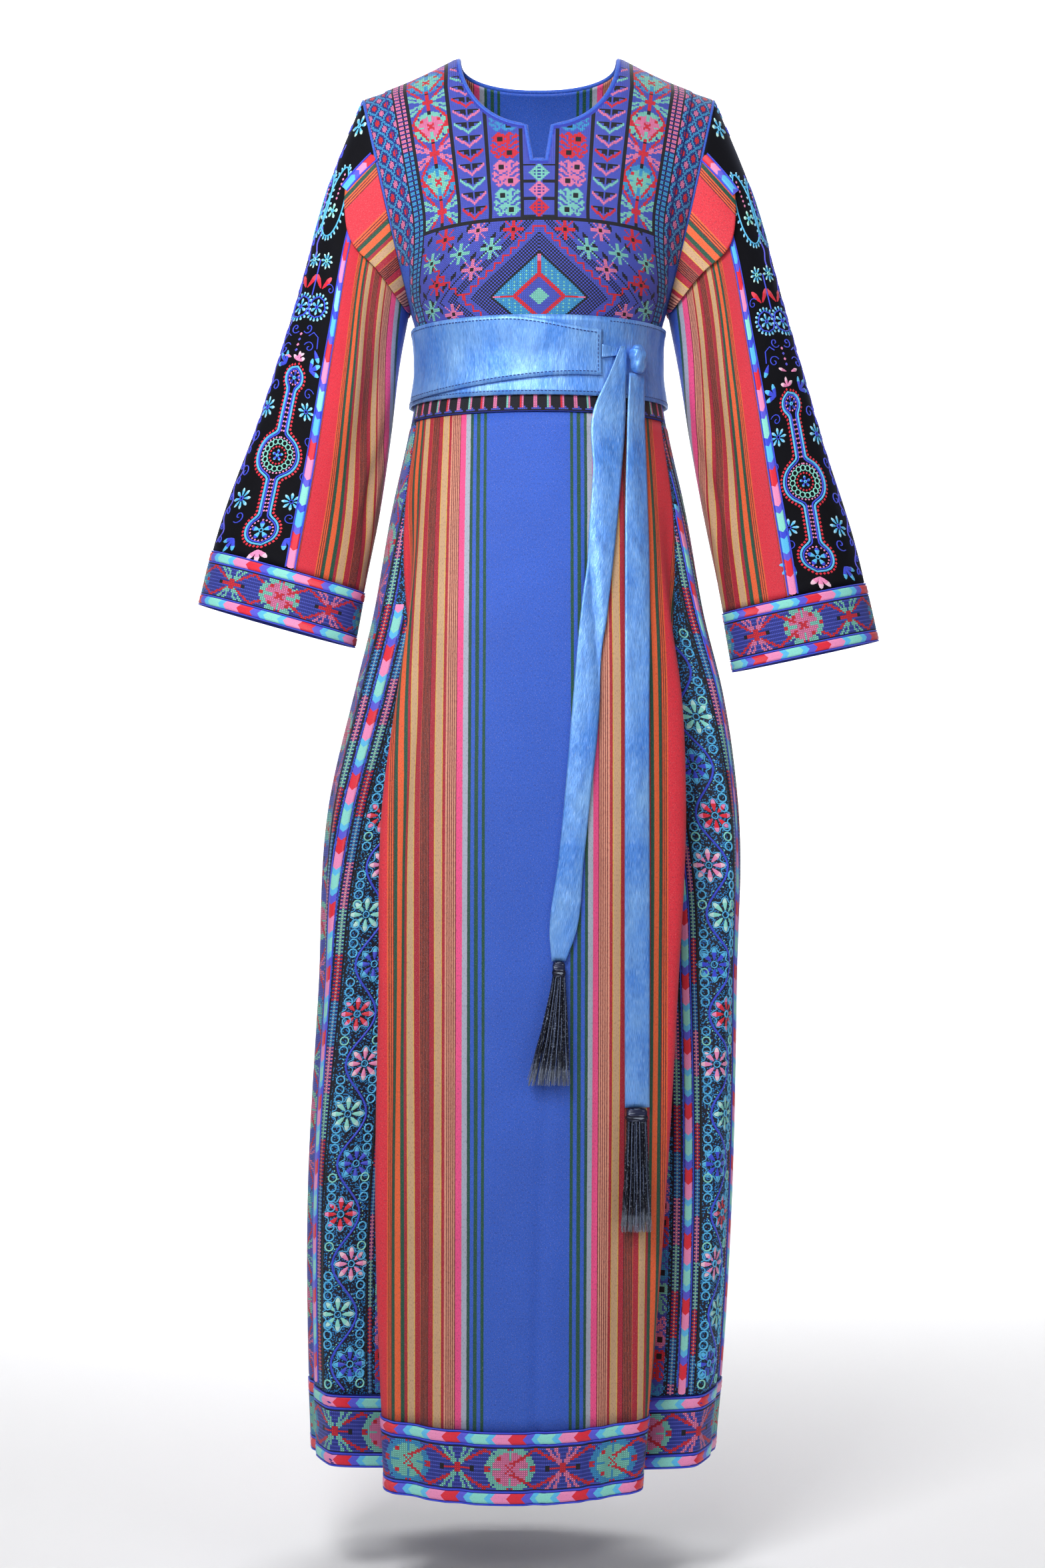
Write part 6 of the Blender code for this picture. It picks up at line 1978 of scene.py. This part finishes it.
def knot():
    """A rounded lump of gathered satin, its folds running down from under one turn of the strap."""
    x0, z0 = KNOT_CENTRE
    s = share_at(x0, z0) * half_girth(1, z0)
    base = girth_at(s, z0)
    normal = unit((girth_at(s, z0, 0.01) - base) * (1, 1, 0))
    centre = base + (BELT_OFF + BELT_WALL + 3 * SEAM + KNOT_HALF[1]) * normal
    across = np.cross(np.array([0, 0, 1.0]), normal)
    tilt = np.linspace(0, np.pi, 42)[:, None]
    turn = np.linspace(0, 2 * np.pi, 57)[None, :-1]
    wide = np.sin(tilt) ** 0.6
    up = power(np.cos(tilt), 0.7)
    folds = 1 + 0.045 * np.sin(5 * turn + 6 * up) * wide
    strap = np.abs(up - 0.28 + 0.12 * np.cos(turn)) < 0.30
    swell = folds * np.where(strap, 1.06, 0.93) * (1 + 0 * up)
    x = KNOT_HALF[0] * wide * power(np.cos(turn), 0.7) * swell
    y = KNOT_HALF[1] * wide * power(np.sin(turn), 0.7) * swell
    z = KNOT_HALF[2] * up + 0 * turn
    points = centre + x[..., None] * across + y[..., None] * normal + z[..., None] * np.array([0, 0, 1.0])
    index = grid_index(points[1:-1])
    right = np.roll(index, -1, 1)
    ends = [centre + (0, 0, KNOT_HALF[2]), centre - (0, 0, KNOT_HALF[2])]
    flat = np.concatenate([points[1:-1].reshape(-1, 3), ends])
    faces = quads(index, ring=True)[..., [0, 3, 2, 1]].reshape(-1, 4).tolist()
    a, b, c, _ = (flat[i] for i in faces[len(faces) // 2])
    faces += [(index.size, left, other) for left, other in zip(index[0].tolist(), right[0].tolist())]
    faces += [(index.size + 1, other, left) for left, other in zip(index[-1].tolist(), right[-1].tolist())]
    if np.dot(np.cross(b - a, c - a), a - centre) < 0:
        faces = [face[::-1] for face in faces]
    piece = add_mesh("belt_knot_satin", flat, faces, flat @ np.stack([across, (0, 0, 1.0)], -1))
    return dress(piece, satin, ["belt_knot"])


knot()


# ================================================================ tails and tassels
# Two ribbons of the same satin hang from the knot over the skirt, each ending in a tassel of dark threads
# shot with silver.

TAILS = {
    "left": (
        (-0.3000, 0.0765, 0.005), (-0.3300, 0.0710, 0.016), (-0.3640, 0.0655, 0.030),
        (-0.4250, 0.0640, 0.027), (-0.6000, 0.0480, 0.025), (-0.8000, 0.0297, 0.024),
        (-0.8700, 0.0215, 0.024), (-0.8940, 0.0180, 0.013),
    ),
    "right": (
        (-0.3251, 0.0893, 0.014), (-0.3640, 0.0908, 0.016), (-0.4570, 0.0926, 0.0215),
        (-0.7000, 0.0924, 0.0230), (-0.9450, 0.0922, 0.0235), (-1.0340, 0.0920, 0.0225),
    ),
}
TAIL_WALL = 0.0015
TAIL_OUT_Z = (-0.460, -0.372, -0.352, -0.330, -0.300)
TAIL_OUT = (0.0026, 0.0050, 0.0064, 0.0088, 0.0090)
TASSEL_COLUMNS = ("head_width", "head_height", "foot_width", "foot_shift", "length")
TASSELS = {"left": (0.0120, 0.014, 0.040, -0.0100, 0.118), "right": (0.0200, 0.012, 0.029, -0.0010, 0.118)}
TASSEL_HALF_DEEP, TASSEL_OFF, TASSEL_LEAN = 0.0045, 0.0030, 0.0035


def front_place(x, z, out=0.0):
    """Point on the front of the dress at a given x and height, and its length round the girth: blended from
    the two points of a fine row that stand on either side of x."""
    x, z = np.broadcast_arrays(np.asarray(x, float), np.asarray(z, float))
    s = np.linspace(-0.13, 0.13, 521)
    row = girth_at(s, z[..., None])[..., 0]
    k = np.sum(row <= x[..., None], -1) - 1
    left, right = (np.take_along_axis(row, (k + step)[..., None], -1)[..., 0] for step in (0, 1))
    at = (s[k + 1] - s[k]) / (right - left) * (x - left) + s[k]
    return girth_at(at, z, out), at


for word, rows in TAILS.items():
    table = np.array(rows)
    z = np.linspace(rows[0][0], rows[-1][0], 130)[:, None]
    across = np.linspace(-0.5, 0.5, 15)[None, :]
    x = smooth_curve(z, table[:, 0], table[:, 1]) + across * smooth_curve(z, table[:, 0], table[:, 2])
    points, s = front_place(x, z + 0 * across)
    normals = unit(girth_at(s, z + 0 * across, 0.01) - points)
    normals = unit(normals * (1, 1, 0))
    # One long soft crease, and short slanting crinkles that fade along the ribbon.
    crease = 0.0012 * np.cos(np.pi * across) * (0.5 + 0.5 * np.sin(z * 23 + across * 3))
    crinkle = 0.0006 * np.sin(z * 260 + across * 9) * np.sin(z * 37 + 1.1) ** 2 * np.cos(np.pi * across)
    lift = np.interp(z, TAIL_OUT_Z, TAIL_OUT) + crease + crinkle
    ribbon = wall(f"tail_{word}_satin", points + lift[..., None] * normals, normals, 0.0, TAIL_WALL,
                  np.stack([across * 0.024 + 0 * z, z + 0 * across], -1))
    dress(ribbon, satin, ["tail_" + word])


def tassel_finish():
    """Dark blue-black thread twisted with silver, paler and frayed at the ends."""
    f = Finish("tassel_thread", Metallic=0.35, Roughness=0.38)
    thread, (place, u, v) = f.thread(), f.uv()
    fleck = f.noise(place, 1.0, 3.0, (1.0, 420.0, 1.0))
    base = f.mix((fleck - 0.56) * 5.0, thread, colour("#C9D6EA"))
    return f.finish(base, (v * 2600.0 + u * 3.0).sine(), depth=0.0002, strength=0.6)


tassel_thread = tassel_finish()


# Head of a tassel, from its top to the foot of its bound collar: share of the width, share of the height.
HEAD_PROFILE = (
    (0.60, 0.0), (0.86, 0.06), (1.0, 0.25), (0.98, 0.55), (1.06, 0.64), (1.10, 0.74), (1.06, 0.84),
    (0.98, 0.92), (0.98, 1.0), (0.5, 1.0),
)
HEAD_BLUE, COLLAR_BLUE, COLLAR_ROWS = colour("#1A2140"), colour("#0C1028"), (3, 6)
THREAD_COUNT, THREAD_THICK, THREAD_SEED = 230, 0.00038, 7
DARK_THREAD, PALE_THREAD, THREAD_TIP = colour("#0B1026"), colour("#8496C0"), colour("#CCD8EC")
PALE_SHARE = 0.16


def tassel(word):
    """A bound head with its collar, and a skirt of separate three-sided threads, wavy and uneven."""
    size = dict(zip(TASSEL_COLUMNS, TASSELS[word]))
    head_width, head_height = size["head_width"], size["head_height"]
    z_top, middle, _ = TAILS[word][-1]
    z_top -= SEAM
    base, s = front_place(np.array(middle), np.array(z_top))
    normal = unit((girth_at(s, z_top, 0.01) - base) * (1, 1, 0))
    across = np.cross((0, 0, 1), normal)
    across = across * np.sign(across[0])
    start = base + (TASSEL_OFF + TASSEL_HALF_DEEP) * normal
    lean = np.dot(girth_at(s, z_top - size["length"]) - base, normal) + TASSEL_LEAN

    def put(x, y, down):
        """Point at x across the tassel, y out from the dress, and down from its head."""
        x, y, down = (c[..., None] for c in np.broadcast_arrays(x, y, down))
        return start + x * across + y * normal - down * np.array([0, 0, 1.0])

    # Head: a flattened barrel with a bound collar at its foot.
    turn = np.linspace(0, 2 * np.pi, 28, endpoint=False)[None, :]
    wide, down = (np.array(column)[:, None] for column in zip(*HEAD_PROFILE))
    head = put(head_width / 2 * wide * power(np.cos(turn), 0.6),
               TASSEL_HALF_DEEP * wide * power(np.sin(turn), 0.6), head_height * down)
    head_faces = quads(grid_index(head), ring=True).reshape(-1, 4)
    row = np.arange(len(HEAD_PROFILE) - 1)[:, None]
    collar = (row >= COLLAR_ROWS[0]) & (row <= COLLAR_ROWS[1])
    head_tints = np.repeat(np.where(collar, COLLAR_BLUE, HEAD_BLUE), turn.size, 0)
    # Threads: each has its own place in the head, length, wave and shade.
    rng = np.random.default_rng(THREAD_SEED)
    draws = [(*rng.uniform(-0.5, 0.5, 2), rng.uniform(0, 1), rng.uniform(0.0002, 0.0011),
              rng.uniform(0, 6.28), rng.uniform()) for _ in range(THREAD_COUNT)]
    u, v, frayed, wave, phase, shade = (column[:, None, None] for column in np.array(draws).T)
    end = size["length"] - 0.010 * frayed ** 2
    way = np.linspace(0, 1, 8)[None, :, None]
    down_thread = head_height * 0.92 + (end - head_height) * way
    spread = 0.94 + (size["foot_width"] / head_width - 0.94) * way ** 1.1
    x = u * head_width * spread + size["foot_shift"] * way ** 1.3 + wave * np.sin(phase + 9 * way) * way
    y = v * 1.8 * TASSEL_HALF_DEEP * (1 + 0.3 * way) + lean * way + wave * np.cos(phase + 7 * way) * way
    thick = THREAD_THICK * (1 - 0.45 * way)
    side_x, side_y = np.array([-0.9, 0.9, 0.0]), np.array([-0.6, -0.6, 0.9])
    threads = put(x + side_x * thick, y + side_y * thick, down_thread)
    strand_index = head[..., 0].size + np.arange(threads[..., 0].size).reshape(threads.shape[:3])
    faces = np.concatenate([head_faces, quads(strand_index, ring=True).reshape(-1, 4)])
    tip = 0.6 * np.maximum(0.0, (way[:, :-1] - 0.70) / 0.30)[..., None]
    dark = np.where(shade[..., None] < PALE_SHARE, PALE_THREAD, DARK_THREAD)
    tints = np.broadcast_to(dark * (1 - tip) + tip * THREAD_TIP, (THREAD_COUNT, 7, 3, 3)).reshape(-1, 3)
    head_uv = line_of(turn, down * 0.01).reshape(-1, 2)
    number = np.arange(THREAD_COUNT)[:, None, None]
    thread_uv = line_of(number * 0.37, down_thread + 0 * side_x).reshape(-1, 2)
    points = np.concatenate([head.reshape(-1, 3), threads.reshape(-1, 3)])
    corner = points[head_faces]
    face_way = np.cross(corner[:, 1] - corner[:, 0], corner[:, 3] - corner[:, 0])
    inner = start - np.array([0, 0, head_height / 2])
    if np.sum(face_way * (corner.mean(1) - inner)) < 0:
        faces[:len(head_faces)] = head_faces[:, ::-1]
    piece = add_mesh(f"tassel_{word}_threads", points, faces, np.concatenate([head_uv, thread_uv]),
                     np.concatenate([head_tints, tints]))
    dress(piece, tassel_thread, ["tassel_" + word])


for word in TASSELS:
    tassel(word)


# ================================================================ floor, light and camera
# A plain pale floor that curves up behind, soft light from large panels, and a level camera in front.
# The dress hangs clear of the floor, as it does when worn.

FLOOR_Z = -1.500
FLOOR_REACH, WALL_Y, CURVE = 6.0, 4.8, 1.2


def backdrop():
    """A floor that turns up into a wall through a quarter circle."""
    turn = np.linspace(0, np.pi / 2, 25)
    y = np.concatenate([[-FLOOR_REACH], WALL_Y - CURVE * (1 - np.sin(turn)), [WALL_Y]])
    z = np.concatenate([[0.0], CURVE * (1 - np.cos(turn)), [FLOOR_REACH]])
    x = np.array([-FLOOR_REACH, FLOOR_REACH])
    points = np.stack(np.broadcast_arrays(x[None, :], y[:, None], FLOOR_Z + z[:, None]), -1)
    piece = add_mesh("floor", points, quads(grid_index(points)).reshape(-1, 4), rides=False)
    pale = bpy.data.materials.new("pale_floor")
    pale.use_nodes = True
    pale.node_tree.nodes["Principled BSDF"].inputs["Base Color"].default_value = (0.86, 0.86, 0.87, 1)
    pale.node_tree.nodes["Principled BSDF"].inputs["Roughness"].default_value = 0.9
    piece.data.materials.append(pale)


backdrop()


def panel_light(name, place, aim, size, power, tint=(1, 1, 1)):
    """A rectangular lamp at a place, turned to shine at its aim."""
    lamp = bpy.data.lights.new(name, "AREA")
    lamp.shape, lamp.size, lamp.size_y, lamp.energy, lamp.color = "RECTANGLE", size[0], size[1], power, tint
    holder = bpy.data.objects.new(name, lamp)
    bpy.context.scene.collection.objects.link(holder)
    holder.location = place
    direction = Vector(aim) - Vector(place)
    holder.rotation_euler = direction.to_track_quat("-Z", "Y").to_euler()


panel_light("key_light", (-0.5, -1.25, 0.45), (0.0, 0.0, -0.25), (0.6, 0.6), 26)
panel_light("front_light", (-0.35, -2.7, 0.15), (0.0, 0.0, -0.20), (0.8, 0.6), 17)
panel_light("fill_light", (2.2, -2.2, 0.5), (0.0, 0.0, -0.3), (1.2, 1.2), 11)
panel_light("back_light", (0.2, 2.0, 1.6), (0.0, 0.0, -0.6), (2.4, 1.2), 40)
panel_light("backdrop_light", (0.0, 2.6, 1.6), (0.0, 4.8, -0.6), (3.6, 1.0), 190)

world = bpy.data.worlds.new("studio")
world.use_nodes = True
world.node_tree.nodes["Background"].inputs["Color"].default_value = (0.95, 0.97, 1.0, 1)
world.node_tree.nodes["Background"].inputs["Strength"].default_value = 0.14
bpy.context.scene.world = world
bpy.context.scene.view_settings.view_transform = "Standard"

CAMERA_PLACE = (-0.0161, -2.8, -0.726)
FRAME_HEIGHT = 1.576
lens = bpy.data.cameras.new("camera")
lens.sensor_fit = "VERTICAL"
lens.angle = 2 * np.arctan(FRAME_HEIGHT / 2 / -CAMERA_PLACE[1])
camera = bpy.data.objects.new("camera", lens)
camera.location = CAMERA_PLACE
camera.rotation_euler = (np.pi / 2, 0, 0)
bpy.context.scene.collection.objects.link(camera)
bpy.context.scene.camera = camera
